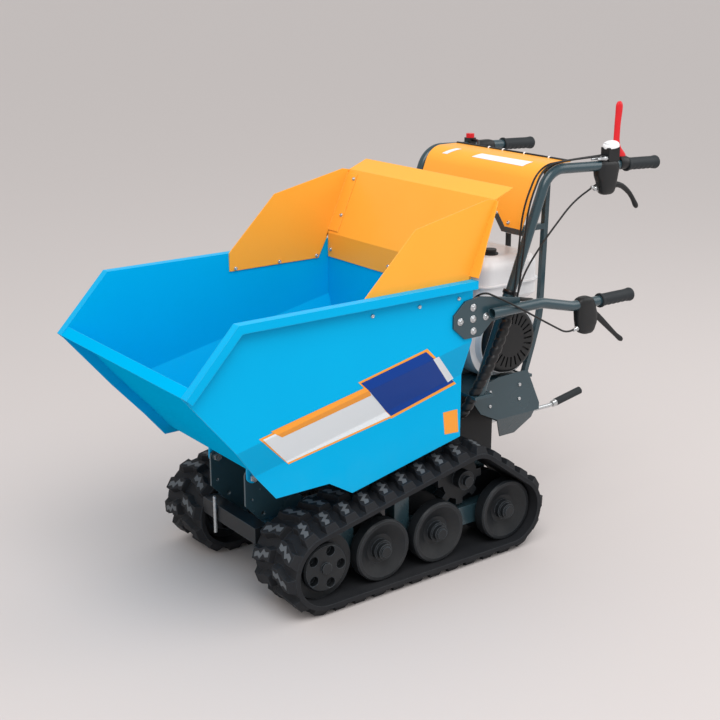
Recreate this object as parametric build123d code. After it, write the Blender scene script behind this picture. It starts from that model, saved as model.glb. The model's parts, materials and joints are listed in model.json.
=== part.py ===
from build123d import *
import os
from math import acos, atan, atan2, cos, hypot, pi, radians, sin, tan

# Walk-behind tracked site dumper with a tipping skip.
# Machine frame: x from the mid-plane (left side +x), y from the front edge of the
# skip guards (rearwards +y), z from the ground. All lengths in millimetres.

# Tracks
track_width = 180
track_centre = 224
belt_thickness = 12
lug_height = 16
lug_pitch = 60
lug_sink = 5
lug_bar = 40
lug_flank = 5
lug_end_slope = 12
lug_step = 14
lug_groove = 10
idler_y = -106
end_play = 6
idler_radius = 86
rear_wheel_y = 482
rear_wheel_radius = 84
road_wheel_radius = 82
road_wheel_y = (70, 250)
sprocket_y = 355
sprocket_z = 222
sprocket_radius = 74
running_gap = 0.3

# Wheels under each track
wheel_width = 32
wheel_spread = 48
wheel_rim = 12
wheel_dish = 18
rim_round = 4
hub_radius = 26
hub_proud = 12
nut_radius = 14
axle_radius = 12
idler_ring_width = 14
idler_disc_radius = 62
idler_openings = 5
idler_opening_radius = 13
sprocket_width = 36
sprocket_hub_reach = 26
sprocket_teeth = 8
tooth_width = 22
tooth_height = 16
shaft_radius = 17

# Track beams and chassis
beam_width = 40
beam_height = 52
beam_overhang = 26
rail_inner_x = 86
rail_width = 40
rail_bottom_z = 135
rail_height = 50
rail_front_y = -165
rail_rear_y = 545
arm_length_y = 46
arm_height = 27
arm_front_y = -15
arm_middle_y = 160
arm_rear_y = 365
arm_rear_height = 36
cross_tube_depth = 40
cross_tube_height = 42
rear_cross_depth = 50

# Skip pivot
pivot_y = -187
pivot_z = 307
pivot_plate_thickness = 6
pivot_eye_radius = 18
pivot_bolt_radius = 6
pivot_bore_play = 0.05
pivot_side_gap = 2
lug_plate_thickness = 6
lug_eye_radius = 16
tie_hole_y = -155
tie_hole_z = 199
tie_hole_radius = 6
spare_hole_z = 243
spare_hole_radius = 4
pivot_plate_rise = 30
pivot_plate_length = 130
bolt_head = 8
bolt_head_radius = 11
tension_rod_radius = 5
tension_rod_x = 58
tension_rod_length = 100
rest_size = 30
moving_gap = 5

# Skip
sheet = 3
skip_half_width = 308
skip_lower_half_width = 271
rim_width = 20
rim_drop = 21
lip_y = -489
lip_z = 629
lip_width = 25
bend_y = -354
rim_z = 772
skip_rear_y = 327
tip_y = -233
tip_z = 322
step_y = -82
keel_y = -14
keel_z = 281
heel_z = 352
joggle_y = 316
joggle_z = 613
joggle_slope = 11.8
joggle_drop = 94
floor_front_z = 345
floor_step_y = -95

# Guards on the skip
guard_front_y = 0
guard_overlap = 50
guard_shoulder_y = 147
guard_shoulder_z = 916
guard_top_y = 374
guard_top_z = 964
guard_fold_y = 400
guard_fold_z = 959
guard_bend_z = 790
guard_flange_y = 455
guard_flange_z = 981
guard_corner_cut = 36
guard_tab_width = 45
guard_tab_z = (798, 951)

# Tipping handle on the skip
tip_plate_thickness = 6
tip_bolt_y = 324.5
tip_bolt_z = 673
tip_plate_rear_y = 480
tip_plate_reach = 62
tip_plate_nose = 16
tip_plate_waist = 26
tip_plate_half = 48
tip_plate_top = 54
tip_plate_edge = 22
tube_radius = 13.5
tube_wall = 2.5
weld_depth = 1.5
tip_tube_start_y = 375
tip_tube_z = 682
tip_tube_bend_y = 545
tip_tube_drop_y = 655
tip_tube_bend = 90
tip_grip_z = 656
tip_end_y = 876
grip_length = 122
grip_radius = 15.5
grip_play = 0.2
grip_end_wall = 3
grip_collar = 8
grip_collar_step = 3
tip_perch_y = 711
latch_x = 90
latch_half_width = 20
latch_depth = 18
latch_z = (400, 470)

# Engine
crank_y = 560
crank_z = 550
engine_base_z = 444
engine_plate_thickness = 8
shroud_inner_x = 95
shroud_depth = 70
shroud_radius = 114
shroud_foot_gap = 6
recoil_depth = 38
recoil_radius = 89
recoil_round = 16
vent_count = 24
vent_length = 28
vent_width = 5
vent_depth = 6
case_right_x = 85
case_front = 80
case_rear = 60
case_round = 30
barrel_x = 5
barrel_width = 100
barrel_length = 120
barrel_height = 80
barrel_offset_y = 105
barrel_offset_z = 25
barrel_tilt = 25
head_length = 26
fin_count = 5
fin_pitch = 16
fin_thickness = 6
fin_width = 116
fin_height = 110
intake_x = (40, 90)
intake_front = 135
exhaust_offset_y = 120
exhaust_offset_z = 78
exhaust_radius = 12
crank_shaft_radius = 14
belt_cover_x = 97
belt_cover_depth = 38
belt_cover_radius = 70
tank_seam_z = 690
tank_front_y = 491
tank_rear_y = 720
tank_inner_x = -70
tank_outer_x = 150
tank_bottom_z = tank_seam_z - 50
tank_top_z = tank_seam_z + 74
tank_corner = 40
tank_bevel = 14
tank_shoulder = 34
seam_width = 8
seam_thickness = 4
filter_bottom_z = 662
filter_height = 104
filter_x = (20, 110)
filter_front = 185
filter_rear = 90
filter_round = 18
muffler_x = -92
muffler_depth = 48
muffler_front = 170
muffler_low = 60
muffler_high = 180
cap_y = 575
cap_x = 92
cap_height = 10
cap_radius = 17
neck_height = 4
neck_radius = 22

# Engine deck and guard
deck_half_width = 205
deck_front_y = 400
deck_rear_y = 612
deck_ear_front = 20
deck_ear_rear = 40
deck_ear_side = 22
guard_sheet = 3
guard_nose = (416, 418)
guard_brow = (462, 446)
guard_top = ((512, 458), (618, 460))
guard_chin = (453, 367)
guard_rear_y = 666
guard_rear_z = 357
guard_fold_front_y = 512
guard_flap_rear_y = 648
guard_flap_low_y = (552, 606)
guard_tuck = ((664, 311), (602, 287))
guard_fold_line_z = 338
guard_flap_depth = 72
guard_flap_angle = 26
guard_hole = (458, 425)
guard_hole_radius = 6
guard_back_lean = 14
guard_back_half = 160
guard_back_gap = 1
cheek_thickness = 6
cheek_front_y = 445
cheek_rear_y = 600
gearbox_half_width = 78
gearbox_front_y = 285
gearbox_rear_y = 440
gearbox_bottom_z = 140
gearbox_top_z = 300
gearbox_round = 25

# Gear lever
gear_x = 68
gear_root_z = 262
gear_exit_z = 273
gear_slot = 40
gear_rod_radius = 6
gear_root_run = 70
gear_knee = 24
gear_bends = [60, 60, 40]
gear_grip_y = 870
gear_grip_length = 98
gear_grip_rise = 0.18
gear_grip_radius = 11

# Handlebars
bar_x = 245
bar_foot_y = 412
bar_foot_z = 450
bar_elbow_y = 630
bar_elbow_z = 1004
bar_end_y = 1038
bar_end_z = 988
bar_bend_radius = 70
post_radius = 17
post_top_z = 700
socket_depth = 60
perch_wall = 6
perch_y = 841
perch_length = 76
perch_foot_length = 52
perch_height = 70
perch_half_width = 13
lever_root = 9
lever_knee = 38
lever_rise = 5
lever_reach = 105
lever_drop = 56
lever_bend = 60
lever_width = 14
lever_depth = 11
throttle_y = 901
throttle_clamp = 27
throttle_stem_y = 886
throttle_width = 11
throttle_top_width = 17
throttle_height = 169
throttle_lean = 8
throttle_offset = 4
throttle_thickness = 12
throttle_body_y = 855
throttle_body_length = 40
throttle_body_half_width = 15
throttle_body_height = 48
throttle_lid_radius = 18
throttle_lid_height = 10
switch_y = 790
switch_half = 12
switch_height = 11
button_height = 12
button_radius = 12

# Console between the bars
strut_x = 182
strut_size = 14
strut_line = ((678, 600), (652, 513), (624, 428))
strut_bend = 150
console_bar_z = 843
console_bar_size = 15
console_bar_rise = 32
console_ramp_in = 120
console_ramp_out = 160
console_ramp_shift = 0.354
console_tube_y = 700
console_tube_radius = 11
cover_thickness = 2
cover_half_width = 226
cover_rear_y = 726
cover_bend = 60

# Held cables
bend_share = 0.45
cable_radius = 2.5
wire_radius = 4
loom_radius = 10.5
engine_wire_radius = 8
engine_wire_x = -20
cable_gap = 0.5

# Derived heights and places
belt_z = lug_height + belt_thickness
idler_z = belt_z + idler_radius
rear_wheel_z = belt_z + rear_wheel_radius
road_wheel_z = belt_z + road_wheel_radius
rail_top_z = rail_bottom_z + rail_height
rail_outer_x = rail_inner_x + rail_width
bar_lean = (bar_elbow_y - bar_foot_y) / (bar_elbow_z - bar_foot_z)
bar_fall = (bar_elbow_z - bar_end_z) / (bar_end_y - bar_elbow_y)


def prism(points, x_from, x_to):
    """Extrude a closed outline of (y, z) points from x_from to x_to."""
    face = make_face(Polyline(*points, close=True))
    return extrude(Plane.YZ.offset(x_from) * face, amount=x_to - x_from)


def block(x_span, y_span, z_span):
    """Box between low and high limits on each axis."""
    size = [span[1] - span[0] for span in (x_span, y_span, z_span)]
    middle = [(span[0] + span[1]) / 2 for span in (x_span, y_span, z_span)]
    return Pos(*middle) * Box(*size)


def rod(start, end, radius):
    """Round bar between two points."""
    axis = Vector(*end) - Vector(*start)
    plane = Plane(origin=start, z_dir=axis)
    return extrude(plane * Circle(radius), amount=axis.length)


def bent_tube(points, bends, radius, bore=0):
    """Round tube along a bent path."""
    path = FilletPolyline(*points, radius=bends)
    start = Plane(origin=path @ 0, z_dir=path % 0)
    section = Circle(radius)
    if bore > 0:
        section = section - Circle(bore)
    return sweep(start * section, path=path)


def both_sides(piece):
    """The piece and its mirror image across the mid-plane."""
    return [piece, mirror(piece, about=Plane.YZ)]


def loop_corners(offset):
    """Tangent points of the belt line round idler, sprocket and rear wheel, slack at its two ends."""
    wheels = [
        (idler_y - end_play, idler_z, idler_radius + offset),
        (sprocket_y, sprocket_z, sprocket_radius + offset),
        (rear_wheel_y + end_play, rear_wheel_z, rear_wheel_radius + offset),
    ]
    spans = []
    for here, there in zip(wheels, wheels[1:] + wheels[:1]):
        run = (there[0] - here[0], there[1] - here[1])
        turn = atan2(run[1], run[0]) + acos((here[2] - there[2]) / hypot(*run))
        spans.append((here, there, turn))
    return spans


def loop_wire(offset):
    """Closed belt line: straight runs joined by arcs over the three wheels."""
    spans = loop_corners(offset)
    edges = []
    for before, after in zip(spans[-1:] + spans[:-1], spans):
        wheel = after[0]
        sweep_angle = (before[2] - after[2]) % (2 * pi)
        angles = [before[2], before[2] - sweep_angle / 2, after[2]]
        on_arc = [(0, wheel[0] + wheel[2] * cos(a), wheel[1] + wheel[2] * sin(a)) for a in angles]
        far = after[1]
        landing = (0, far[0] + far[2] * cos(after[2]), far[1] + far[2] * sin(after[2]))
        edges.append(ThreePointArc(*on_arc))
        edges.append(Line(on_arc[2], landing))
    return Wire(edges)


def lug_outline(side, flank, end_slope):
    """Stepped tread bar outline on one half of the belt, drawn in by its flanks and end slope."""
    near = side * (lug_groove / 2 + flank)
    far = side * (track_width / 2 - end_slope)
    third = side * track_width / 6
    half = lug_bar / 2 - flank
    step = lug_step / 2
    return [
        (near, step - half),
        (third, step - half),
        (2 * third, -step - half),
        (far, -step - half),
        (far, -step + half),
        (2 * third, -step + half),
        (third, step + half),
        (near, step + half),
    ]


def tread_lug(side):
    """Tread bar with bevelled flanks, standing on the belt's outer face at the origin."""
    foot = make_face(Polyline(*lug_outline(side, 0, 0), close=True))
    crown = make_face(Polyline(*lug_outline(side, lug_flank, lug_end_slope), close=True))
    return loft([Pos(0, 0, -lug_sink) * foot, Pos(0, 0, lug_height) * crown], ruled=True)


def track():
    """Rubber belt with two staggered rows of tread bars, level with the ground."""
    outer = loop_wire(belt_thickness)
    ring = make_face(outer) - make_face(loop_wire(0))
    low_x = track_centre - track_width / 2
    belt = extrude(Pos(low_x, 0, 0) * ring, amount=track_width, dir=(1, 0, 0))
    count = round(outer.length / lug_pitch)
    rows = [tread_lug(-1), tread_lug(1)]
    lugs = []
    for index in range(2 * count):
        place = outer @ (index / (2 * count))
        along = outer % (index / (2 * count))
        outward = Vector(0, -along.Z, along.Y)
        foot = Vector(track_centre, place.Y, place.Z)
        frame = Plane(origin=foot, x_dir=(1, 0, 0), z_dir=outward)
        lugs.append(frame.location * rows[index % 2])
    half = track_width / 2
    ends_y = (idler_y - 2 * idler_radius, rear_wheel_y + 2 * rear_wheel_radius)
    ground = block((track_centre - half, track_centre + half), ends_y, (-lug_height, 0))
    return belt.fuse(*lugs) - ground


def dished_wheel(radius):
    """Wheel with a deep dish and a stepped hub on its outer face, turned about the x axis."""
    half = wheel_width / 2
    step = (hub_radius - nut_radius) / 2
    profile = [
        (-half, 0),
        (-half, radius),
        (half - rim_round, radius),
        (half, radius - rim_round),
        (half, radius - wheel_rim),
        (half - wheel_dish, hub_radius + wheel_rim),
        (half - wheel_dish, hub_radius),
        (half - rim_round, hub_radius),
        (half - rim_round, hub_radius - step),
        (half + hub_proud - rim_round, hub_radius - step),
        (half + hub_proud - rim_round, nut_radius),
        (half + hub_proud, nut_radius),
        (half + hub_proud, 0),
    ]
    face = make_face(Polyline(*profile, close=True))
    return revolve(face, axis=Axis.X)


def idler_wheel():
    """Front wheel: a belt ring beside the beam and a smaller spoked disc outside it."""
    half = wheel_width / 2
    ring_x = -half + idler_ring_width
    profile = [
        (-half, 0),
        (-half, idler_radius - running_gap),
        (ring_x, idler_radius - running_gap),
        (ring_x, idler_disc_radius),
        (half - rim_round, idler_disc_radius),
        (half, idler_disc_radius - rim_round),
        (half, nut_radius),
        (half + hub_proud / 2, nut_radius),
        (half + hub_proud / 2, 0),
    ]
    wheel = revolve(make_face(Polyline(*profile, close=True)), axis=Axis.X)
    opening_radius = (idler_disc_radius + hub_radius) / 2
    face = Plane.YZ.offset(ring_x)
    for place in PolarLocations(opening_radius, idler_openings):
        wheel = wheel - extrude(face * place * Circle(idler_opening_radius), amount=wheel_width)
    return wheel


def twin_wheel(y, z, wheel):
    """Pair of wheels on one axle, either side of the track beam."""
    outer = Pos(track_centre + wheel_spread, y, z) * wheel
    inner = Pos(track_centre - wheel_spread, y, z) * Rot(0, 0, 180) * wheel
    reach = wheel_spread - wheel_width / 2
    axle = rod((track_centre - reach, y, z), (track_centre + reach, y, z), axle_radius)
    return outer + inner + axle


def wheel_centres():
    """Centre of every twin wheel of a track in (y, z): road wheels, idler and rear wheel."""
    centres = [(y, road_wheel_z) for y in road_wheel_y]
    return centres + [(idler_y, idler_z), (rear_wheel_y, rear_wheel_z)]


def track_wheels():
    """All twin wheels of one track."""
    road_wheels = [dished_wheel(road_wheel_radius - running_gap) for y in road_wheel_y]
    shapes = road_wheels + [idler_wheel(), dished_wheel(rear_wheel_radius - running_gap)]
    return [twin_wheel(*centre, wheel) for centre, wheel in zip(wheel_centres(), shapes)]


def sprocket():
    """Toothed drive wheel with its half shaft from the gearbox."""
    root = sprocket_radius - running_gap - tooth_height
    disc = Circle(root)
    tooth = Pos(root, 0) * Rectangle(2 * tooth_height, tooth_width)
    wheel = (disc + PolarLocations(0, sprocket_teeth) * tooth) & Circle(sprocket_radius - running_gap)
    low_x = track_centre - sprocket_width / 2
    placed = Plane.YZ.offset(low_x) * Pos(sprocket_y, sprocket_z) * wheel
    body = extrude(placed, amount=sprocket_width)
    centre = (sprocket_y, sprocket_z)
    shaft = rod((gearbox_half_width, *centre), (low_x, *centre), shaft_radius)
    face_x = track_centre + sprocket_width / 2
    hub_x = face_x + sprocket_hub_reach
    hub = rod((face_x, *centre), (hub_x, *centre), hub_radius)
    nut = rod((hub_x, *centre), (hub_x + hub_proud, *centre), nut_radius)
    return body + shaft + hub + nut


def track_beam():
    """Beam between the twin wheels, with the arms that carry it on the chassis."""
    half = beam_width / 2
    low_x = track_centre - half
    high_x = track_centre + half
    beam_mid_z = road_wheel_z
    beam_z = (beam_mid_z - beam_height / 2, beam_mid_z + beam_height / 2)
    beam = block((low_x, high_x), (idler_y - beam_overhang, rear_wheel_y + beam_overhang), beam_z)
    arm_z = (rail_top_z, rail_top_z + arm_height)
    for arm_y in (arm_front_y, arm_middle_y):
        span_y = (arm_y - arm_length_y / 2, arm_y + arm_length_y / 2)
        arm = block((rail_inner_x, high_x), span_y, arm_z)
        post = block((low_x, high_x), span_y, (beam_z[1], rail_top_z))
        beam = beam + arm + post
    rear_y = (arm_rear_y - arm_length_y / 2, arm_rear_y + arm_length_y / 2)
    beam = beam + block((rail_inner_x, low_x), rear_y, (rail_bottom_z - arm_rear_height, rail_bottom_z))
    for y, z in wheel_centres():
        bore = rod((low_x, y, z), (high_x, y, z), axle_radius + running_gap)
        beam = beam - bore
    return beam


def frame_rail():
    return block((rail_inner_x, rail_outer_x), (rail_front_y, rail_rear_y), (rail_bottom_z, rail_top_z))


def cross_members():
    """Front tube across the rail ends and rear tube between the rails."""
    front_y = (rail_front_y - cross_tube_depth, rail_front_y)
    front_z = (rail_top_z - cross_tube_height, rail_top_z)
    front = block((-rail_outer_x, rail_outer_x), front_y, front_z)
    rear_y = (rail_rear_y - rear_cross_depth, rail_rear_y)
    rear = block((-rail_inner_x, rail_inner_x), rear_y, (rail_bottom_z, rail_top_z))
    return [front, rear]


def pivot_plate():
    """Upright plate with the pivot eye, a round tie-down hole and a smaller hole above it."""
    high_x = rail_inner_x
    low_x = high_x - pivot_plate_thickness
    front_y = pivot_y - pivot_eye_radius
    shoulder = (rail_top_z + pivot_plate_rise, rail_front_y + pivot_plate_length)
    outline = [
        (front_y, pivot_z),
        (front_y, tie_hole_z + pivot_plate_rise),
        (rail_front_y, rail_top_z),
        (rail_front_y, rail_bottom_z),
        (shoulder[1], rail_bottom_z),
        (shoulder[1], shoulder[0]),
        (pivot_y + pivot_eye_radius, pivot_z),
    ]
    plate = prism(outline, low_x, high_x)
    plate = plate + rod((low_x, pivot_y, pivot_z), (high_x, pivot_y, pivot_z), pivot_eye_radius)
    holes = [
        (pivot_y, pivot_z, pivot_bolt_radius),
        (tie_hole_y, tie_hole_z, tie_hole_radius),
        (pivot_y, spare_hole_z, spare_hole_radius),
    ]
    for y, z, radius in holes:
        plate = plate - rod((low_x, y, z), (high_x, y, z), radius)
    return plate


def pivot_bolt():
    """Bolt through the chassis plate and the skip lug, with head and nut."""
    plate_x = rail_inner_x - pivot_plate_thickness
    lug_x = rail_inner_x + pivot_side_gap + lug_plate_thickness
    start = (plate_x - bolt_head, pivot_y, pivot_z)
    end = (lug_x + pivot_side_gap + bolt_head, pivot_y, pivot_z)
    bolt = rod(start, end, pivot_bolt_radius)
    hexagon = RegularPolygon(radius=bolt_head_radius, side_count=6)
    for x in (plate_x - bolt_head, lug_x + pivot_side_gap):
        plane = Plane(origin=(x, pivot_y, pivot_z), z_dir=(1, 0, 0))
        bolt = bolt + extrude(plane * hexagon, amount=bolt_head)
    return bolt


def tension_rod():
    """Upright threaded rod in front of the front cross tube, right of the middle."""
    y = rail_front_y - cross_tube_depth - tension_rod_radius
    top = rail_top_z + tension_rod_length / 4
    x = -tension_rod_x
    return rod((x, y, top - tension_rod_length), (x, y, top), tension_rod_radius)


def skip_rest():
    """Post on the middle arm with a pad just under the skip floor."""
    rise = (heel_z - keel_z) / (skip_rear_y - keel_y)
    front_y = arm_middle_y - rest_size / 2
    top_z = keel_z + sheet + (front_y - keel_y) * rise - moving_gap
    x_span = (rail_inner_x + rail_width / 2 - rest_size / 2, rail_inner_x + rail_width / 2 + rest_size / 2)
    return block(x_span, (front_y, front_y + rest_size), (rail_top_z + arm_height, top_z))


def side_section(inner, outer):
    """Cross-section band of a skip side, seen along the joggle, in (x, height) points."""
    lower = skip_half_width - skip_lower_half_width
    return [
        (skip_half_width - inner, rim_z),
        (skip_half_width - outer, rim_z),
        (skip_half_width - outer, 0),
        (skip_half_width - lower - outer, -joggle_drop),
        (skip_half_width - lower - outer, -rim_z),
        (skip_half_width - lower - inner, -rim_z),
        (skip_half_width - lower - inner, -joggle_drop),
        (skip_half_width - inner, 0),
    ]


def joggle_plane():
    """Plane across the joggle line: its x is the machine's x, its y is square to the line."""
    slope = radians(joggle_slope)
    along = (0, -cos(slope), -sin(slope))
    return Plane(origin=(0, joggle_y, joggle_z), x_dir=(1, 0, 0), z_dir=along)


def side_outline():
    """Outline of a skip side in (y, z)."""
    return [
        (lip_y, lip_z),
        (bend_y, rim_z),
        (skip_rear_y, rim_z),
        (skip_rear_y, heel_z),
        (keel_y, keel_z),
        (step_y, tip_z),
        (tip_y, tip_z),
    ]


def rim_band(depth):
    """Strip of the given depth under the slanted and level rim edges, in (y, z)."""
    run = Vector(bend_y - lip_y, rim_z - lip_z).normalized()
    inward = Vector(run.Y, -run.X)
    bend_shift = depth * (1 + inward.Y) / inward.X
    return [
        (lip_y, lip_z),
        (bend_y, rim_z),
        (skip_rear_y, rim_z),
        (skip_rear_y, rim_z - depth),
        (bend_y + bend_shift, rim_z - depth),
        (lip_y + inward.X * depth, lip_z + inward.Y * depth),
    ]


def skip_side():
    """Folded side sheet: upper wall, inward joggle, skirt and outward rim."""
    section = make_face(Polyline(*side_section(0, sheet), close=True))
    panel = extrude(joggle_plane() * section, amount=skip_rear_y - lip_y, both=True)
    outline = prism(side_outline(), 0, skip_half_width)
    panel = panel & outline
    flange = prism(rim_band(sheet), skip_half_width, skip_half_width + rim_width)
    turned = prism(rim_band(rim_drop), skip_half_width + rim_width - sheet, skip_half_width + rim_width)
    return panel + flange + turned


def load_space():
    """Solid that fills the space between the two skip sides."""
    lower = skip_lower_half_width - sheet
    upper = skip_half_width - sheet
    section = [
        (-upper, rim_z),
        (upper, rim_z),
        (upper, 0),
        (lower, -joggle_drop),
        (lower, -rim_z),
        (-lower, -rim_z),
        (-lower, -joggle_drop),
        (-upper, 0),
    ]
    face = make_face(Polyline(*section, close=True))
    return extrude(joggle_plane() * face, amount=skip_rear_y - lip_y, both=True)


def front_line(z, inset=0):
    """y of the front plate's outer face, or of a face parallel to it, at height z."""
    slope = (tip_y - lip_y) / (lip_z - tip_z)
    return lip_y + (lip_z - z) * slope + inset * hypot(1, slope)


def skip_front():
    """Front plate set back between the sides, with a lip folded out to their front edges."""
    low_z = floor_front_z - sheet
    down = Vector(tip_y - lip_y, tip_z - lip_z).normalized()
    inward = Vector(-down.Y, down.X)
    lip_top = Vector(lip_y, lip_z)
    fold = lip_top + inward * (lip_width + sheet)
    lip_under = lip_top + down * sheet
    root_under = lip_under + inward * lip_width
    outline = [
        (lip_top.X, lip_top.Y),
        (lip_under.X, lip_under.Y),
        (root_under.X, root_under.Y),
        (front_line(low_z, lip_width), low_z),
        (front_line(low_z, lip_width + sheet), low_z),
        (fold.X, fold.Y),
    ]
    return prism(outline, -skip_half_width, skip_half_width) & load_space()


def skip_floor():
    """Floor sheet folded down to the keel and rising to the rear."""
    rise = (heel_z - keel_z) / (skip_rear_y - keel_y)
    rear_y = skip_rear_y - sheet
    lift = keel_z + sheet
    top = [
        (front_line(floor_front_z, lip_width + sheet), floor_front_z),
        (floor_step_y, floor_front_z),
        (keel_y, lift + sheet),
        (rear_y, lift + sheet + (rear_y - keel_y) * rise),
    ]
    under = [(y, z - sheet) for y, z in reversed(top)]
    under[-1] = (front_line(floor_front_z - sheet, lip_width + sheet), floor_front_z - sheet)
    return prism(top + under, -skip_half_width, skip_half_width) & load_space()


def skip_rear():
    """Upright rear wall."""
    wall = block(
        (-skip_half_width, skip_half_width),
        (skip_rear_y - sheet, skip_rear_y),
        (heel_z, rim_z),
    )
    return wall & load_space()


def guard_profile():
    """Rear edge of the guard in (y, z): upright foot, leaning back, top fold."""
    face_y = skip_rear_y - sheet
    return [
        (face_y, rim_z - guard_overlap),
        (face_y, guard_bend_z),
        (guard_fold_y, guard_fold_z),
    ]


def guard_side():
    """Sloping side guard bolted inside the skip wall, with a tab folded over the back guard."""
    low_z = rim_z - guard_overlap
    outline = [
        (guard_front_y, low_z),
        (guard_front_y, rim_z),
        (guard_shoulder_y, guard_shoulder_z),
        (guard_top_y, guard_top_z),
    ] + guard_profile()[:0:-1]
    outline.append((skip_rear_y - sheet - guard_corner_cut, low_z))
    outer_x = skip_half_width - sheet
    inner_x = outer_x - sheet
    lean = (guard_fold_y - skip_rear_y + sheet) / (guard_fold_z - guard_bend_z)
    rear = [(skip_rear_y - 2 * sheet + (z - guard_bend_z) * lean, z) for z in guard_tab_z]
    front = [(y - sheet, z) for y, z in rear]
    tab = prism(rear + front[::-1], inner_x - guard_tab_width, inner_x) - guard_back()
    return prism(outline, inner_x, outer_x) + tab


def guard_back():
    """Back guard: upright foot on the rear wall, leaning plate and top flange."""
    face = guard_profile() + [(guard_flange_y, guard_flange_z)]
    inner = [(y - sheet, z) for y, z in face[:-1]] + [(guard_flange_y, guard_flange_z + sheet)]
    inner[2] = (guard_fold_y - sheet, guard_fold_z + sheet / 2)
    half = skip_half_width - 2 * sheet
    return prism(face + inner[::-1], -half, half)


def skip_lug():
    """Plate under the skip floor with the pivot bore."""
    low_x = rail_inner_x + pivot_side_gap
    high_x = low_x + lug_plate_thickness
    top_z = floor_front_z - sheet
    outline = [
        (pivot_y - lug_eye_radius, pivot_z),
        (pivot_y - lug_eye_radius, top_z),
        (floor_step_y, top_z),
        (pivot_y + lug_eye_radius, pivot_z),
    ]
    lug = prism(outline, low_x, high_x)
    lug = lug + rod((low_x, pivot_y, pivot_z), (high_x, pivot_y, pivot_z), lug_eye_radius)
    bore = pivot_bolt_radius + pivot_bore_play
    return lug - rod((low_x, pivot_y, pivot_z), (high_x, pivot_y, pivot_z), bore)


def tip_handle():
    """Bolted plate on the left skip wall with the lifting tube welded to it."""
    wall_x = skip_half_width
    outer_x = wall_x + tip_plate_thickness
    outline = [
        (tip_bolt_y - tip_plate_reach, tip_bolt_z - tip_plate_nose),
        (tip_bolt_y - tip_plate_reach, tip_bolt_z + tip_plate_nose),
        (tip_bolt_y - tip_plate_waist, tip_bolt_z + tip_plate_half),
        (tip_bolt_y + tip_plate_edge, tip_bolt_z + tip_plate_top),
        (tip_plate_rear_y, tip_tube_z + tip_plate_edge),
        (tip_plate_rear_y, tip_tube_z - tip_plate_nose),
        (tip_bolt_y + tip_plate_reach, tip_bolt_z - tip_plate_nose),
        (tip_bolt_y + tip_plate_waist, tip_bolt_z - tip_plate_half),
        (tip_bolt_y - tip_plate_waist, tip_bolt_z - tip_plate_half),
    ]
    plate = prism(outline, wall_x, outer_x)
    tube_x = outer_x + tube_radius - weld_depth
    points = [
        (tube_x, tip_tube_start_y, tip_tube_z),
        (tube_x, tip_tube_bend_y, tip_tube_z),
        (tube_x, tip_tube_drop_y, tip_grip_z),
        (tube_x, tip_end_y - grip_end_wall, tip_grip_z),
    ]
    tube = bent_tube(points, tip_tube_bend, tube_radius, tube_radius - tube_wall)
    keep = bent_tube(points, tip_tube_bend, tube_radius - tube_wall)
    return plate - keep + tube


def grip(end_y, x, z, drop=0):
    """Rubber grip closed at its rear end, with a flanged front."""
    front = (x, end_y - grip_length, z + drop * grip_length)
    end = (x, end_y, z)
    body = rod(front, end, grip_radius)
    collar_end = (x, end_y - grip_length + grip_collar, z + drop * (grip_length - grip_collar))
    body = body + rod(front, collar_end, grip_radius + grip_collar_step)
    seat_end = (x, end_y - grip_end_wall, z + drop * grip_end_wall)
    return body - rod(front, seat_end, tube_radius + grip_play)


def lever_set(x, y, z, fall=0):
    """Clamp body under a tube, narrower at its foot, and its curved hand lever."""
    half = perch_length / 2
    foot = perch_foot_length / 2
    front = (x, y - half, z + half * fall)
    back = (x, y + half, z - half * fall)
    outline = [
        (y - half, z),
        (y + half, z),
        (y + (half + foot) / 2, z - 2 * perch_height / 3),
        (y + foot, z - perch_height),
        (y - foot, z - perch_height),
        (y - (half + foot) / 2, z - 2 * perch_height / 3),
    ]
    housing = prism(outline, x - perch_half_width, x + perch_half_width)
    perch = rod(front, back, tube_radius + perch_wall) + housing
    clamp_top = z + tube_radius + perch_wall
    above = block((x - half, x + half), (y - 2 * half, y + 2 * half), (clamp_top, clamp_top + perch_height))
    perch = perch - above - rod(
        (x, y - perch_length, z + perch_length * fall),
        (x, y + perch_length, z - perch_length * fall),
        tube_radius + grip_play,
    )
    root_z = z - perch_height + lever_root
    path = FilletPolyline(
        (x, y + foot, root_z),
        (x, y + foot + lever_knee, root_z + lever_rise),
        (x, y + foot + lever_reach, z - perch_height - lever_drop),
        radius=lever_bend,
    )
    start = Plane(origin=path @ 0, x_dir=(1, 0, 0), z_dir=path % 0)
    lever = sweep(start * Rectangle(lever_width, lever_depth), path=path)
    return perch, lever - perch


def bar_y(z):
    """y of the leaning bar's centre line at height z."""
    return bar_foot_y + (z - bar_foot_z) * bar_lean


def top_bar_z(y):
    """z of the upper bar's centre line at y."""
    return bar_elbow_z - (y - bar_elbow_y) * bar_fall


def bar_points():
    """Centre line of a handlebar tube, from its socket to just short of the grip's end."""
    socket_z = post_top_z - socket_depth
    end_y = bar_end_y - grip_end_wall
    return [
        (bar_x, bar_y(socket_z), socket_z),
        (bar_x, bar_elbow_y, bar_elbow_z),
        (bar_x, end_y, top_bar_z(end_y)),
    ]


def handlebar():
    """Round tube from the post up to the elbow and back to the grip."""
    return bent_tube(bar_points(), bar_bend_radius, tube_radius, tube_radius - tube_wall)


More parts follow.
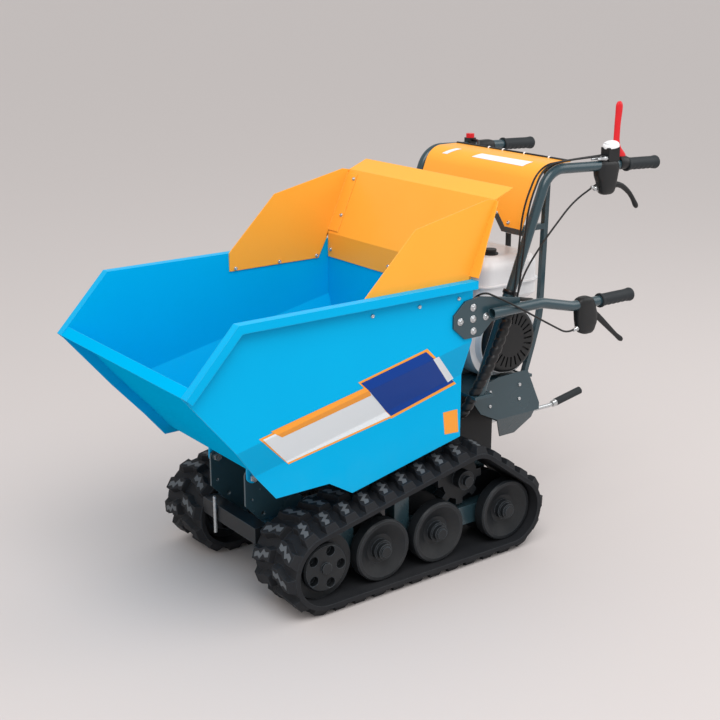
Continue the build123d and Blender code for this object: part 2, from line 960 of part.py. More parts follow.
def handle_post():
    """Socket post on the engine deck that takes the handlebar tube."""
    low_z = engine_base_z - 2 * post_radius
    post = rod((bar_x, bar_y(low_z), low_z), (bar_x, bar_y(post_top_z), post_top_z), post_radius)
    foot_y = bar_y(engine_base_z)
    reach = 5 * post_radius
    foot_span = (foot_y - reach, foot_y + reach)
    post = post - block((0, bar_x + reach), foot_span, (low_z - reach, engine_base_z))
    socket_z = post_top_z - socket_depth
    mouth_z = post_top_z + post_radius
    return post - rod((bar_x, bar_y(socket_z), socket_z), (bar_x, bar_y(mouth_z), mouth_z), tube_radius)


def engine_deck():
    """Deck plate under the engine, with ears for the handle posts and the console struts."""
    z_span = (engine_base_z - engine_plate_thickness, engine_base_z)
    deck = block((-deck_half_width, deck_half_width), (deck_front_y, deck_rear_y), z_span)
    ear_y = (deck_front_y - deck_ear_front, deck_front_y + deck_ear_rear)
    deck = deck + block((-bar_x - deck_ear_side, bar_x + deck_ear_side), ear_y, z_span)
    for ear in both_sides(strut_ear()):
        deck = deck + ear
    return deck


def strut_ear():
    """Small tab at the deck's rear corner under the foot of a console strut."""
    x_span = (strut_x - strut_size, deck_half_width)
    y_span = (deck_rear_y, strut_line[-1][0] + strut_size)
    return block(x_span, y_span, (engine_base_z - engine_plate_thickness, engine_base_z))


def cheek_plate():
    """Plate standing on a chassis rail under the engine deck."""
    x_span = (rail_inner_x, rail_inner_x + cheek_thickness)
    deck_under_z = engine_base_z - engine_plate_thickness
    return block(x_span, (cheek_front_y, cheek_rear_y), (rail_top_z, deck_under_z))


def gearbox():
    """Transmission case between the rails."""
    body = block(
        (-gearbox_half_width, gearbox_half_width),
        (gearbox_front_y, gearbox_rear_y),
        (gearbox_bottom_z, gearbox_top_z),
    )
    return fillet(body.edges().filter_by(Axis.X), gearbox_round)


def engine_block():
    """Crankcase with the inclined finned cylinder towards the skip."""
    case_y = (crank_y - case_front, crank_y + case_rear)
    case = block((-case_right_x, shroud_inner_x), case_y, (engine_base_z, tank_bottom_z))
    case = fillet(case.edges().filter_by(Axis.X).group_by(Axis.Z)[-1], case_round)
    barrel = Box(barrel_width, barrel_length, barrel_height)
    first_fin = -(fin_count - 1) * fin_pitch / 2 - fin_pitch / 2
    for index in range(fin_count):
        fin = Pos(0, first_fin + index * fin_pitch, 0) * Box(fin_width, fin_thickness, fin_height)
        barrel = barrel + fin
    head = Pos(0, -(barrel_length + head_length) / 2, 0) * Box(fin_width, head_length, fin_height)
    tilt = Pos(barrel_x, crank_y - barrel_offset_y, crank_z + barrel_offset_z) * Rot(-barrel_tilt, 0, 0)
    barrel = tilt * (barrel + head)
    shaft = rod((-belt_cover_x, crank_y, crank_z), (-case_right_x, crank_y, crank_z), crank_shaft_radius)
    intake_y = (crank_y - intake_front, crank_y - case_front)
    intake = block(intake_x, intake_y, (crank_z + barrel_offset_z, filter_bottom_z))
    outlet = (crank_y - exhaust_offset_y, crank_z + exhaust_offset_z)
    exhaust = rod((-barrel_width / 2 + 2 * barrel_x, *outlet), (muffler_x, *outlet), exhaust_radius)
    return case + barrel + shaft + intake + exhaust


def belt_cover():
    """Rounded cover over the drive pulley on the engine's right side, standing on the deck."""
    centre = (crank_y, crank_z)
    cover = rod((-belt_cover_x - belt_cover_depth, *centre), (-belt_cover_x, *centre), belt_cover_radius)
    foot = block(
        (-belt_cover_x - belt_cover_depth, -belt_cover_x),
        (crank_y - belt_cover_radius, crank_y + belt_cover_radius),
        (engine_base_z, crank_z),
    )
    return cover + foot


def fan_shroud():
    """Round fan housing behind the recoil starter, cut level under the tank and above the deck."""
    low_z = engine_base_z + shroud_foot_gap
    x_span = (shroud_inner_x, shroud_inner_x + shroud_depth)
    shell = rod((x_span[0], crank_y, crank_z), (x_span[1], crank_y, crank_z), shroud_radius)
    y_span = (crank_y - shroud_radius, crank_y + shroud_radius)
    return shell & block(x_span, y_span, (low_z, tank_bottom_z))


def recoil_cover():
    """Round recoil starter cover with radial vent slots and a plain middle."""
    base_x = shroud_inner_x + shroud_depth
    centre = (crank_y, crank_z)
    cover = rod((base_x, *centre), (base_x + recoil_depth, *centre), recoil_radius)
    cover = fillet(cover.edges().group_by(Axis.X)[-1], recoil_round)
    ring = Plane.YZ.offset(base_x + recoil_depth) * Pos(crank_y, crank_z)
    slot = Box(vent_length, vent_width, 2 * vent_depth)
    for place in PolarLocations(recoil_radius - recoil_round - vent_length / 2, vent_count):
        cover = cover - ring * place * slot
    return cover


def fuel_tank():
    """Two pressed halves with a seam flange."""
    x_span = (tank_inner_x, tank_outer_x)
    y_span = (tank_front_y + seam_width, tank_rear_y - seam_width)
    lower = block(x_span, y_span, (tank_bottom_z, tank_seam_z))
    lower = fillet(lower.edges().filter_by(Axis.Z), tank_corner)
    lower = chamfer(lower.edges().group_by(Axis.Z)[0], tank_bevel)
    upper = block(x_span, y_span, (tank_seam_z, tank_top_z))
    upper = fillet(upper.edges().filter_by(Axis.Z), tank_corner)
    upper = fillet(upper.edges().group_by(Axis.Z)[-1], tank_shoulder)
    half_seam = seam_thickness / 2
    seam = block(
        (tank_inner_x - seam_width, tank_outer_x + seam_width),
        (tank_front_y, tank_rear_y),
        (tank_seam_z - half_seam, tank_seam_z + half_seam),
    )
    seam = fillet(seam.edges().filter_by(Axis.Z), tank_corner + seam_width)
    return lower + upper + seam


def fuel_cap():
    """Filler flange and the cap on it."""
    neck = rod((cap_x, cap_y, tank_top_z), (cap_x, cap_y, tank_top_z + neck_height), neck_radius)
    low_z = tank_top_z + neck_height
    return neck + rod((cap_x, cap_y, low_z), (cap_x, cap_y, low_z + cap_height), cap_radius)


def muffler():
    """Flat silencer box on the exhaust stub."""
    body = block(
        (muffler_x - muffler_depth, muffler_x),
        (crank_y - muffler_front, crank_y - case_front),
        (crank_z + muffler_low, crank_z + muffler_high),
    )
    return fillet(body.edges().filter_by(Axis.Z), filter_round)


def air_filter():
    """Rounded filter box on the intake."""
    body = block(
        filter_x,
        (crank_y - filter_front, crank_y - filter_rear),
        (filter_bottom_z, filter_bottom_z + filter_height),
    )
    return fillet(body.edges().filter_by(Axis.Z), filter_round)


def rear_guard_outline():
    """Outline of the guard's side plate above its fold, in (y, z)."""
    return [
        guard_nose,
        guard_brow,
        *guard_top,
        (guard_rear_y, guard_rear_z),
        (guard_rear_y, guard_fold_line_z),
        (guard_fold_front_y, guard_fold_line_z),
        guard_chin,
    ]


def rear_guard_side():
    """Side plate with its lower flap folded inwards."""
    outer_x = deck_half_width + guard_sheet
    plate = prism(rear_guard_outline(), deck_half_width, outer_x)
    plate = plate - rod((deck_half_width, *guard_hole), (outer_x, *guard_hole), guard_hole_radius)
    low_z = guard_fold_line_z - guard_flap_depth
    flap = [
        (guard_fold_front_y, guard_fold_line_z),
        (guard_flap_rear_y, guard_fold_line_z),
        (guard_flap_rear_y, guard_fold_line_z - guard_flap_depth / 3),
        (guard_flap_low_y[1], low_z),
        (guard_flap_low_y[0], low_z),
    ]
    fold = Axis((outer_x, 0, guard_fold_line_z), (0, 1, 0))
    return plate + prism(flap, deck_half_width, outer_x).rotate(fold, guard_flap_angle)


def rear_guard_back():
    """Folded panel between the guard's side plates, narrower between the flaps."""
    top = (deck_rear_y + guard_back_lean, engine_base_z - guard_back_gap)
    edge = [top, (guard_rear_y, guard_rear_z), *guard_tuck]
    inner = [(y - guard_sheet, z - guard_sheet) for y, z in edge]
    inner[0] = (edge[0][0] - guard_sheet, edge[0][1])
    inner[-1] = (edge[-1][0], edge[-1][1] + guard_sheet)
    inner[-2] = (edge[-2][0] - guard_sheet, edge[-2][1] + guard_sheet)
    panel = prism(edge + inner[::-1], -deck_half_width, deck_half_width)
    slot = gear_slot / 2
    slot_x = (gear_x - slot, gear_x + slot)
    y_span = (deck_rear_y - gear_slot, deck_rear_y + 3 * gear_slot)
    panel = panel - block(slot_x, y_span, (gear_exit_z - slot, gear_exit_z + slot))
    clear = block((guard_back_half, bar_x), y_span, (0, guard_fold_line_z + guard_sheet))
    for cut in both_sides(clear) + both_sides(strut_ear()):
        panel = panel - cut
    return panel


def gear_lever():
    """Bent shift rod from the gearbox out through the rear guard."""
    points = [
        (gear_x, gearbox_rear_y, gear_root_z),
        (gear_x, gearbox_rear_y + gear_root_run, gear_root_z),
        (gear_x, deck_rear_y, gear_exit_z),
        (gear_x, gear_grip_y - gear_knee, gear_exit_z),
        (gear_x, gear_grip_y, gear_exit_z + gear_knee * gear_grip_rise),
    ]
    return bent_tube(points, gear_bends, gear_rod_radius)


def gear_grip():
    """Plain grip on the end of the shift rod."""
    low_z = gear_exit_z + gear_knee * gear_grip_rise
    high_z = low_z + gear_grip_length * gear_grip_rise
    end_y = gear_grip_y + gear_grip_length
    return rod((gear_x, gear_grip_y, low_z), (gear_x, end_y, high_z), gear_grip_radius)


def strut_points():
    """Centre line of a console strut, from the upper tube down past the deck's rear corner."""
    top = (strut_x, console_tube_y - console_tube_radius, console_tube_z())
    return [top] + [(strut_x, y, z) for y, z in strut_line]


def upright():
    """Square strut from the upper console tube down behind the engine to the deck's rear corner."""
    path = FilletPolyline(*strut_points(), radius=strut_bend)
    start = Plane(origin=path @ 0, x_dir=(1, 0, 0), z_dir=path % 0)
    strut = sweep(start * Rectangle(strut_size, strut_size), path=path)
    foot_y = strut_line[-1][0]
    below = block((0, bar_x), (foot_y - 2 * strut_size, foot_y + 2 * strut_size), (0, engine_base_z))
    strut = strut - below - upper_tube()
    return strut.solids().sort_by(SortBy.VOLUME)[-1]


def lean_plane(offset):
    """Plane of the leaning bars shifted square to them: x along the machine's x, y up the lean."""
    up = Vector(0, bar_lean, 1).normalized()
    square = Vector(0, -up.Z, up.Y)
    origin = Vector(0, bar_y(console_bar_z), console_bar_z) + square * offset
    return Plane(origin=origin, x_dir=(1, 0, 0), z_dir=square)


def console_edge(shift):
    """Right half of the console bar's raised line, shifted up or down, in the leaning plane."""
    side = shift * console_ramp_shift
    return [
        (console_ramp_in + side, console_bar_rise + shift),
        (console_ramp_out + side, shift),
    ]


def console_tube_z():
    return console_top_z() - console_tube_radius - cover_thickness


def upper_tube():
    reach = bar_x - tube_radius
    z = console_tube_z()
    return rod((-reach, console_tube_y, z), (reach, console_tube_y, z), console_tube_radius)


def console_crossbars():
    """Lower bar raised in its middle, its side arms to the struts, and the upper round tube."""
    reach = bar_x - tube_radius
    half = console_bar_size / 2
    top = console_edge(half) + [(reach, half)]
    under = console_edge(-half) + [(reach, -half)]
    outline = [(-x, v) for x, v in top[::-1]] + top + under[::-1] + [(-x, v) for x, v in under]
    face = make_face(Polyline(*outline, close=True))
    bar = extrude(lean_plane(-half) * face, amount=console_bar_size)
    arm = block(
        (strut_x - strut_size / 2, strut_x + strut_size / 2),
        (bar_y(console_bar_z), console_tube_y - console_tube_radius),
        (console_bar_z - half, console_bar_z + half),
    )
    for side_arm in both_sides(arm - upright()):
        bar = bar + side_arm
    return [bar, upper_tube()]


def console_top_z():
    """Height of the console cover's top face, just above the bars."""
    return top_bar_z(console_tube_y) + tube_radius


def console_cover():
    """Curved sheet from the lower bar up and over the upper tube, cut along the bar's lower edge."""
    half = console_bar_size / 2
    up = Vector(0, bar_lean, 1).normalized()
    face = lean_plane(half + cover_thickness / 2).origin
    foot = face - up * half
    top_z = console_top_z() - cover_thickness / 2
    elbow = face + up * ((top_z - face.Z) / up.Z)
    path = FilletPolyline(
        (0, foot.Y, foot.Z),
        (0, elbow.Y, elbow.Z),
        (0, cover_rear_y, top_z),
        radius=cover_bend,
    )
    start = Plane(origin=path @ 0, x_dir=(1, 0, 0), z_dir=path % 0)
    cover = sweep(start * Rectangle(2 * cover_half_width, cover_thickness), path=path)
    edge = console_edge(-half)
    right = edge + [(edge[-1][0], -console_bar_rise)]
    notch = make_face(Polyline(*([(-x, v) for x, v in right[::-1]] + right), close=True))
    return cover - extrude(lean_plane(0) * notch, amount=2 * console_bar_size)


def throttle_lever():
    """Upright red hand lever on the left bar, leaning back and wider at its top."""
    y = throttle_y
    half = throttle_clamp / 2
    clamp = rod(
        (bar_x, y - half, top_bar_z(y - half)),
        (bar_x, y + half, top_bar_z(y + half)),
        tube_radius + perch_wall,
    )
    bore = rod(
        (bar_x, y - throttle_clamp, top_bar_z(y - throttle_clamp)),
        (bar_x, y + throttle_clamp, top_bar_z(y + throttle_clamp)),
        tube_radius + grip_play,
    )
    low_z = top_bar_z(throttle_stem_y)
    top_z = low_z + throttle_height
    top_y = throttle_stem_y + throttle_lean
    low = throttle_width / 2
    high = throttle_top_width / 2
    stem = [
        (throttle_stem_y - low, low_z),
        (top_y - high, top_z - high),
        (top_y - high / 2, top_z),
        (top_y + high / 2, top_z),
        (top_y + high, top_z - high),
        (throttle_stem_y + low, low_z),
    ]
    blade = prism(stem, bar_x - throttle_offset - throttle_thickness, bar_x - throttle_offset)
    return clamp + blade - bore


def throttle_body():
    """Small housing on top of the left perch, with a round lid."""
    y = throttle_body_y
    half = throttle_body_length / 2
    low_z = top_bar_z(y)
    top_z = low_z + throttle_body_height
    x_span = (bar_x - throttle_body_half_width, bar_x + throttle_body_half_width)
    body = block(x_span, (y - half, y + half), (low_z, top_z))
    body = body + rod((bar_x, y, top_z), (bar_x, y, top_z + throttle_lid_height), throttle_lid_radius)
    seat = rod(
        (bar_x, y - perch_length, top_bar_z(y - perch_length)),
        (bar_x, y + perch_length, top_bar_z(y + perch_length)),
        tube_radius + perch_wall,
    )
    return (body - seat).solids().sort_by(SortBy.VOLUME)[-1]


def switch_box():
    """Low base on the right bar for the stop button."""
    y_span = (switch_y - switch_half, switch_y + switch_half)
    low_z = top_bar_z(switch_y)
    top_z = low_z + tube_radius + switch_height
    body = block((-bar_x - switch_half, -bar_x + switch_half), y_span, (low_z, top_z))
    bar = rod(
        (-bar_x, switch_y - perch_length, top_bar_z(switch_y - perch_length)),
        (-bar_x, switch_y + perch_length, top_bar_z(switch_y + perch_length)),
        tube_radius,
    )
    return body - bar


def stop_button():
    """Round button on the switch base."""
    low_z = top_bar_z(switch_y) + tube_radius + switch_height
    return rod((-bar_x, switch_y, low_z), (-bar_x, switch_y, low_z + button_height), button_radius)


def cable(points, radius):
    """Held cable along its route, with the largest even bends that its straight runs allow."""
    corners = [Vector(*point) for point in points]
    bends = []
    for before, corner, after in zip(corners, corners[1:], corners[2:]):
        run_in = corner - before
        run_out = after - corner
        half_turn = radians(run_in.get_angle(run_out)) / 2
        bends.append(bend_share * min(run_in.length, run_out.length) / tan(half_turn))
    return bent_tube(points, bends, radius)


def trim(piece, neighbours):
    """The piece cut back to the faces of what it meets."""
    for other in neighbours:
        piece = piece - other
    return piece.solids().sort_by(SortBy.VOLUME)[-1]


def control_cables():
    """Cables from the hand controls to the loom beside the left post, and the engine's wires."""
    perch_front_y = perch_y - (perch_length + perch_foot_length) / 4
    perch_low_z = top_bar_z(perch_y) - 2 * perch_height / 3
    body_front_y = throttle_body_y - throttle_body_length / 2
    body_z = top_bar_z(throttle_body_y) + throttle_body_height
    switch_x = -bar_x + switch_half
    switch_z = top_bar_z(switch_y) + tube_radius + switch_height / 2
    rear_y = cover_rear_y + 3 * wire_radius
    tube_z = console_tube_z()
    loom_top = loom_points()[0]
    routes = [
        (cable_radius, [
            (bar_x, perch_front_y, perch_low_z),
            (238, 730, 909),
            (228, 635, 810),
            (228, 570, 735),
            (loom_top[0] - 2 * cable_radius, loom_top[1] + cable_radius, loom_top[2]),
        ]),
        (cable_radius, [
            (bar_x - 3 * cable_radius, body_front_y, body_z - 8 * cable_radius),
            (243, 700, 1022),
            (243, 598, 1016),
            (247, 543, 915),
            (258, 522, 810),
            (268, 505, 715),
            (loom_top[0] - cable_radius, loom_top[1] - 2 * cable_radius, loom_top[2]),
        ]),
        (cable_radius, [
            (bar_x + 2 * cable_radius, body_front_y, body_z - 8 * cable_radius),
            (252, 704, 1024),
            (252, 606, 1018),
            (257, 552, 922),
            (267, 532, 818),
            (275, 512, 715),
            (loom_top[0] + 2 * cable_radius, loom_top[1], loom_top[2]),
        ]),
        (wire_radius, [
            (switch_x, switch_y, switch_z),
            (switch_x + 25, switch_y, switch_z),
            (-150, rear_y, tube_z),
            (150, rear_y, tube_z),
            (205, console_tube_y + 24, tube_z),
            (bar_x - tube_radius, console_tube_y + 24, top_bar_z(console_tube_y + 24)),
        ]),
        (engine_wire_radius, [
            (engine_wire_x, console_tube_y, tube_z - console_tube_radius),
            (engine_wire_x, 730, 930),
            (engine_wire_x, 745, 800),
            (engine_wire_x, 743, 680),
            (engine_wire_x, 680, 590),
            (engine_wire_x, crank_y + case_rear, crank_z),
        ]),
    ]
    return [cable(points, radius) for radius, points in routes]


def loom_points():
    """Route of the wrapped loom: beside the left post, round the deck's ear, to the gearbox."""
    return [
        (278, 488, 640),
        (276, 449, 569),
        (278, 408, 499),
        (283, 388, 425),
        (255, 372, 372),
        (110, 365, 364),
        (60, 365, gearbox_top_z),
    ]


def tip_cable():
    """Cable from the tip lever over its tube and down the skip's rear wall to the latch."""
    perch_front_y = tip_perch_y - (perch_length + perch_foot_length) / 4
    perch_low_z = tip_grip_z - 2 * perch_height / 3
    clear_x = tube_x + tube_radius + cable_radius + cable_gap
    wall_y = skip_rear_y + 2 * cable_radius
    points = [
        (tube_x, perch_front_y + 2 * cable_radius, perch_low_z - 6 * cable_radius),
        (334, 630, 590),
        (clear_x, 550, 632),
        (clear_x, 425, 702),
        (317, 354, 739),
        (288, wall_y + 6, 712),
        (130, wall_y, 540),
        (latch_x, wall_y, latch_z[1]),
    ]
    return cable(points, cable_radius)


def skip_latch():
    """Latch body on the skip's rear wall."""
    x_span = (latch_x - latch_half_width, latch_x + latch_half_width)
    body = block(x_span, (skip_rear_y, skip_rear_y + latch_depth), latch_z)
    return fillet(body.edges().filter_by(Axis.Y), latch_half_width / 4)


wheels_left = track_wheels()
engine = engine_block()
transmission = gearbox()
throttle_housing = throttle_body()
loom = trim(cable(loom_points(), loom_radius), [transmission])
left_perch, left_lever = lever_set(bar_x, perch_y, top_bar_z(perch_y), bar_fall)
tube_x = skip_half_width + tip_plate_thickness + tube_radius - weld_depth
tip_perch, tip_lever = lever_set(tube_x, tip_perch_y, tip_grip_z)
latch = skip_latch()
cable_ends = [left_perch, throttle_housing, engine, loom, switch_box(), upper_tube(), handlebar()]
cables = [trim(piece, cable_ends) for piece in control_cables()]
left_grip = grip(bar_end_y, bar_x, bar_end_z, bar_fall)

nodes = {
    "track_left": [track()],
    "track_wheels_left": wheels_left,
    "sprockets": both_sides(sprocket()),
    "track_beams": both_sides(track_beam()),
    "frame_rails": both_sides(frame_rail()),
    "cross_members": cross_members(),
    "pivot_plates": both_sides(pivot_plate()),
    "pivot_bolts": both_sides(pivot_bolt()),
    "tension_rods": [tension_rod()],
    "skip_rests": both_sides(skip_rest()),
    "gearbox": [transmission],
    "cheek_plates": both_sides(cheek_plate()),
    "engine_deck": [engine_deck()],
    "engine_block": [engine],
    "belt_cover": [belt_cover()],
    "fan_shroud": [fan_shroud()],
    "recoil_cover": [recoil_cover()],
    "fuel_tank": [fuel_tank()],
    "fuel_cap": [fuel_cap()],
    "muffler": [muffler()],
    "air_filter": [air_filter()],
    "rear_guard_sides": both_sides(rear_guard_side()),
    "rear_guard_back": [rear_guard_back()],
    "gear_lever": [gear_lever()],
    "gear_grip": [gear_grip()],
    "handle_posts": both_sides(handle_post()),
    "handlebar_left": [handlebar()],
    "handlebar_grips": both_sides(left_grip),
    "uprights": both_sides(upright()),
    "console_crossbars": console_crossbars(),
    "console_cover": [console_cover()],
    "lever_perches": both_sides(left_perch),
    "hand_levers": both_sides(left_lever),
    "throttle_lever": [throttle_lever()],
    "throttle_body": [throttle_housing],
    "switch_box": [switch_box()],
    "stop_button": [stop_button()],
    "control_cables": cables,
    "cable_loom": [loom],
    "skip_side_left": [skip_side()],
    "skip_front": [skip_front()],
    "skip_floor": [skip_floor()],
    "skip_rear": [skip_rear()],
    "guard_left": [guard_side()],
    "guard_back": [guard_back()],
    "skip_lugs": both_sides(skip_lug()),
    "tip_handle": [tip_handle()],
    "tip_grip": [grip(tip_end_y, tube_x, tip_grip_z)],
    "tip_perch": [tip_perch],
    "tip_lever": [tip_lever],
    "tip_cable": [trim(tip_cable(), [tip_perch, latch])],
    "skip_latch": [latch],
}
for left in ("track_left", "track_wheels_left", "handlebar_left", "skip_side_left", "guard_left"):
    nodes[left.replace("left", "right")] = [mirror(piece, about=Plane.YZ) for piece in nodes[left]]

# The origin lies on the ground under the middle of the machine's box.
left_reach = tube_x + tube_radius + perch_wall
right_reach = skip_half_width + rim_width
mid_x = (left_reach - right_reach) / 2
rear_reach = bar_end_y + grip_radius * sin(atan(bar_fall))
mid_y = (lip_y + rear_reach) / 2

os.makedirs("parts", exist_ok=True)
for name, pieces in nodes.items():
    solids = [solid for piece in pieces for solid in piece.solids()]
    shape = solids[0] if len(solids) == 1 else Compound(solids)
    export_step(Pos(-mid_x, -mid_y, 0) * shape, f"parts/{name}.step")
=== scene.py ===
import bmesh
import bpy
import json
import math
import numpy as np
from mathutils import Matrix, Vector


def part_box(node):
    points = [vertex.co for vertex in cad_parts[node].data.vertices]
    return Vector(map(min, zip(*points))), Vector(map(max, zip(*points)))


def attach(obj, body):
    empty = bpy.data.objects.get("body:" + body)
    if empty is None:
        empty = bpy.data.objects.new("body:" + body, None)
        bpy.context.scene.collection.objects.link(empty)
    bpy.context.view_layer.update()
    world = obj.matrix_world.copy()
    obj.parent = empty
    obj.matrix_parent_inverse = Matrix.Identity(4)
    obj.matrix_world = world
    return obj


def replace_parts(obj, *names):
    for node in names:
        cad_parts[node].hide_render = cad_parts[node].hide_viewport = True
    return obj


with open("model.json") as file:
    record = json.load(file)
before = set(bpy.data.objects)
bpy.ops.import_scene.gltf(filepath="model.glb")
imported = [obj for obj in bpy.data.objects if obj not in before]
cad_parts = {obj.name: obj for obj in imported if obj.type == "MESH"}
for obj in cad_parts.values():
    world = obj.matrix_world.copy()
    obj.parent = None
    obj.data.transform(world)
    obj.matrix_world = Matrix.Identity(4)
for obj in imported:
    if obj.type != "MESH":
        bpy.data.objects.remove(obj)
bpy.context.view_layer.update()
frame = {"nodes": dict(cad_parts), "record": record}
nodes = frame["nodes"]
print("frame loaded:", len(nodes), "nodes")

# places below are in mm, in the machine's own frame: x from its mid-plane, y from the guards' front edge
# and z from the ground
machineMiddle = np.array([8.75, 274.8037, 0.0])
bothSides = {"left": 1, "right": -1}
wallX = 308.0         # outer face of the skip's upper wall
postLean = 218 / 554  # y over z of the handle posts and the console cover
guardLean = 76 / 169  # y over z of the skip's back guard
barFall = 16 / 408    # drop over y of the handlebars


def toMetres(places):
    # place in metres = (machine place in mm - middle of the machine's box) / 1000
    return (np.asarray(places, dtype=float) - machineMiddle) / 1000.0


def toMachine(places):
    # machine place in mm = place in metres * 1000 + middle of the machine's box
    return np.asarray(places, dtype=float) * 1000.0 + machineMiddle


def leanAxes(lean):
    # unit directions up a sheet that leans back by y = lean * z, and square to it on its front
    run = math.hypot(1, lean)
    return (0, lean / run, 1 / run), (0, -1 / run, lean / run)


postUp, postSquare = leanAxes(postLean)
guardSquare = leanAxes(guardLean)[1]


# the view: angles in degrees, place, lens and sensor in mm, clip end in metres
cameraView = {"azimuth": 53.617, "drop": 17.107, "roll": -0.105, "place": (2655.2, -1747.2, 1526.3),
              "lens": 65.52, "sensor": 36.0, "clipEnd": 200}


def addCamera(view):
    # turn = heading about z, then the drop below the horizon, then roll about the line of sight
    lens = bpy.data.cameras.new("camera")
    lens.sensor_fit = "HORIZONTAL"
    lens.sensor_width = view["sensor"]
    lens.lens = view["lens"]
    lens.clip_end = view["clipEnd"]
    turn = Matrix.Rotation(math.radians(view["azimuth"]), 4, "Z")
    turn = turn @ Matrix.Rotation(math.radians(90 - view["drop"]), 4, "X")
    turn = turn @ Matrix.Rotation(math.radians(view["roll"]), 4, "Z")
    camera = bpy.data.objects.new("camera", lens)
    camera.matrix_world = Matrix.Translation(toMetres(view["place"])) @ turn
    bpy.context.scene.collection.objects.link(camera)
    bpy.context.scene.camera = camera


addCamera(cameraView)
bpy.context.scene.view_settings.view_transform = "Standard"
print("camera set")


# shader groups shared by the finishes

def newGroup(name, inputs, outputs):
    # a shader group with number inputs at their defaults, and outputs of the kinds given
    tree = bpy.data.node_groups.new(name, "ShaderNodeTree")
    for label, value in inputs.items():
        socket = tree.interface.new_socket(label, in_out="INPUT", socket_type="NodeSocketFloat")
        socket.default_value = value
    for label, kind in outputs.items():
        tree.interface.new_socket(label, in_out="OUTPUT", socket_type=kind)
    return tree, tree.nodes.new("NodeGroupInput"), tree.nodes.new("NodeGroupOutput")


def feed(tree, socket, value):
    # a number or a colour is set on the socket, and another node's output is linked to it
    if isinstance(value, (int, float, tuple)):
        socket.default_value = value
    else:
        tree.links.new(value, socket)


def mathNode(tree, operation, first, second, clamp=False):
    # first (operation) second, held between 0 and 1 where clamped
    node = tree.nodes.new("ShaderNodeMath")
    node.operation = operation
    node.use_clamp = clamp
    feed(tree, node.inputs[0], first)
    feed(tree, node.inputs[1], second)
    return node.outputs[0]


def noiseNode(tree, scale, detail, rough=0.55):
    # noise(place * scale), with the place on the mesh, so that it moves with its piece
    place = tree.nodes.new("ShaderNodeTexCoord")
    node = tree.nodes.new("ShaderNodeTexNoise")
    tree.links.new(place.outputs["Object"], node.inputs["Vector"])
    feed(tree, node.inputs["Scale"], scale)
    node.inputs["Detail"].default_value = detail
    node.inputs["Roughness"].default_value = rough
    return node.outputs["Fac"]


def makeEdgeWearAndHighlight():
    # mask = gain * (1 - bevelled normal . face normal) * contrast * noise, which marks edges for wear and for
    # a painted highlight; the bevelled normal rounds edges
    inputs = {"Radius": 0.002, "Gain": 5.0, "Breakup": 60.0, "Contrast": 1.6}
    outputs = {"Mask": "NodeSocketFloat", "Normal": "NodeSocketVector"}
    tree, given, result = newGroup("edgeWearAndHighlight", inputs, outputs)
    bevel = tree.nodes.new("ShaderNodeBevel")
    bevel.samples = 4
    tree.links.new(given.outputs["Radius"], bevel.inputs["Radius"])
    face = tree.nodes.new("ShaderNodeNewGeometry")
    dot = tree.nodes.new("ShaderNodeVectorMath")
    dot.operation = "DOT_PRODUCT"
    tree.links.new(bevel.outputs["Normal"], dot.inputs[0])
    tree.links.new(face.outputs["Normal"], dot.inputs[1])
    turn = mathNode(tree, "SUBTRACT", 1.0, dot.outputs["Value"])
    raised = mathNode(tree, "MULTIPLY", turn, given.outputs["Gain"], clamp=True)
    noise = noiseNode(tree, given.outputs["Breakup"], detail=4)
    broken = mathNode(tree, "MULTIPLY", noise, given.outputs["Contrast"])
    mask = mathNode(tree, "MULTIPLY", raised, broken, clamp=True)
    tree.links.new(mask, result.inputs["Mask"])
    tree.links.new(bevel.outputs["Normal"], result.inputs["Normal"])
    return tree


def makeSiteDust():
    # mask = (1 - height / top) * contrast * (noise - threshold) + an even film, each held between 0 and 1
    inputs = {"Top": 0.4, "Film": 0.0, "Scale": 9.0, "Threshold": 0.38, "Contrast": 2.6}
    tree, given, result = newGroup("siteDust", inputs, {"Mask": "NodeSocketFloat"})
    place = tree.nodes.new("ShaderNodeTexCoord")
    parts = tree.nodes.new("ShaderNodeSeparateXYZ")
    tree.links.new(place.outputs["Object"], parts.inputs[0])
    height = mathNode(tree, "DIVIDE", parts.outputs["Z"], given.outputs["Top"], clamp=True)
    low = mathNode(tree, "SUBTRACT", 1.0, height)
    cloud = noiseNode(tree, given.outputs["Scale"], detail=6, rough=0.65)
    sharp = mathNode(tree, "SUBTRACT", cloud, given.outputs["Threshold"], clamp=True)
    strong = mathNode(tree, "MULTIPLY", sharp, given.outputs["Contrast"])
    patch = mathNode(tree, "MULTIPLY", low, strong, clamp=True)
    mask = mathNode(tree, "ADD", patch, given.outputs["Film"], clamp=True)
    tree.links.new(mask, result.inputs["Mask"])
    return tree


def makeFineGrain():
    # height = coarse noise * mix + fine noise * (1 - mix); the cloud is a broad noise of its own
    inputs = {"Coarse": 120.0, "Fine": 900.0, "Mix": 0.5, "Broad": 7.0}
    outputs = {"Height": "NodeSocketFloat", "Cloud": "NodeSocketFloat"}
    tree, given, result = newGroup("fineGrain", inputs, outputs)
    coarse = noiseNode(tree, given.outputs["Coarse"], detail=3)
    fine = noiseNode(tree, given.outputs["Fine"], detail=2)
    cloud = noiseNode(tree, given.outputs["Broad"], detail=3)
    share = mathNode(tree, "MULTIPLY", coarse, given.outputs["Mix"])
    left = mathNode(tree, "SUBTRACT", 1.0, given.outputs["Mix"])
    rest = mathNode(tree, "MULTIPLY", fine, left)
    tree.links.new(mathNode(tree, "ADD", share, rest), result.inputs["Height"])
    tree.links.new(cloud, result.inputs["Cloud"])
    return tree


edgeWearAndHighlight = makeEdgeWearAndHighlight()
siteDust = makeSiteDust()
fineGrain = makeFineGrain()
print("shader groups built")


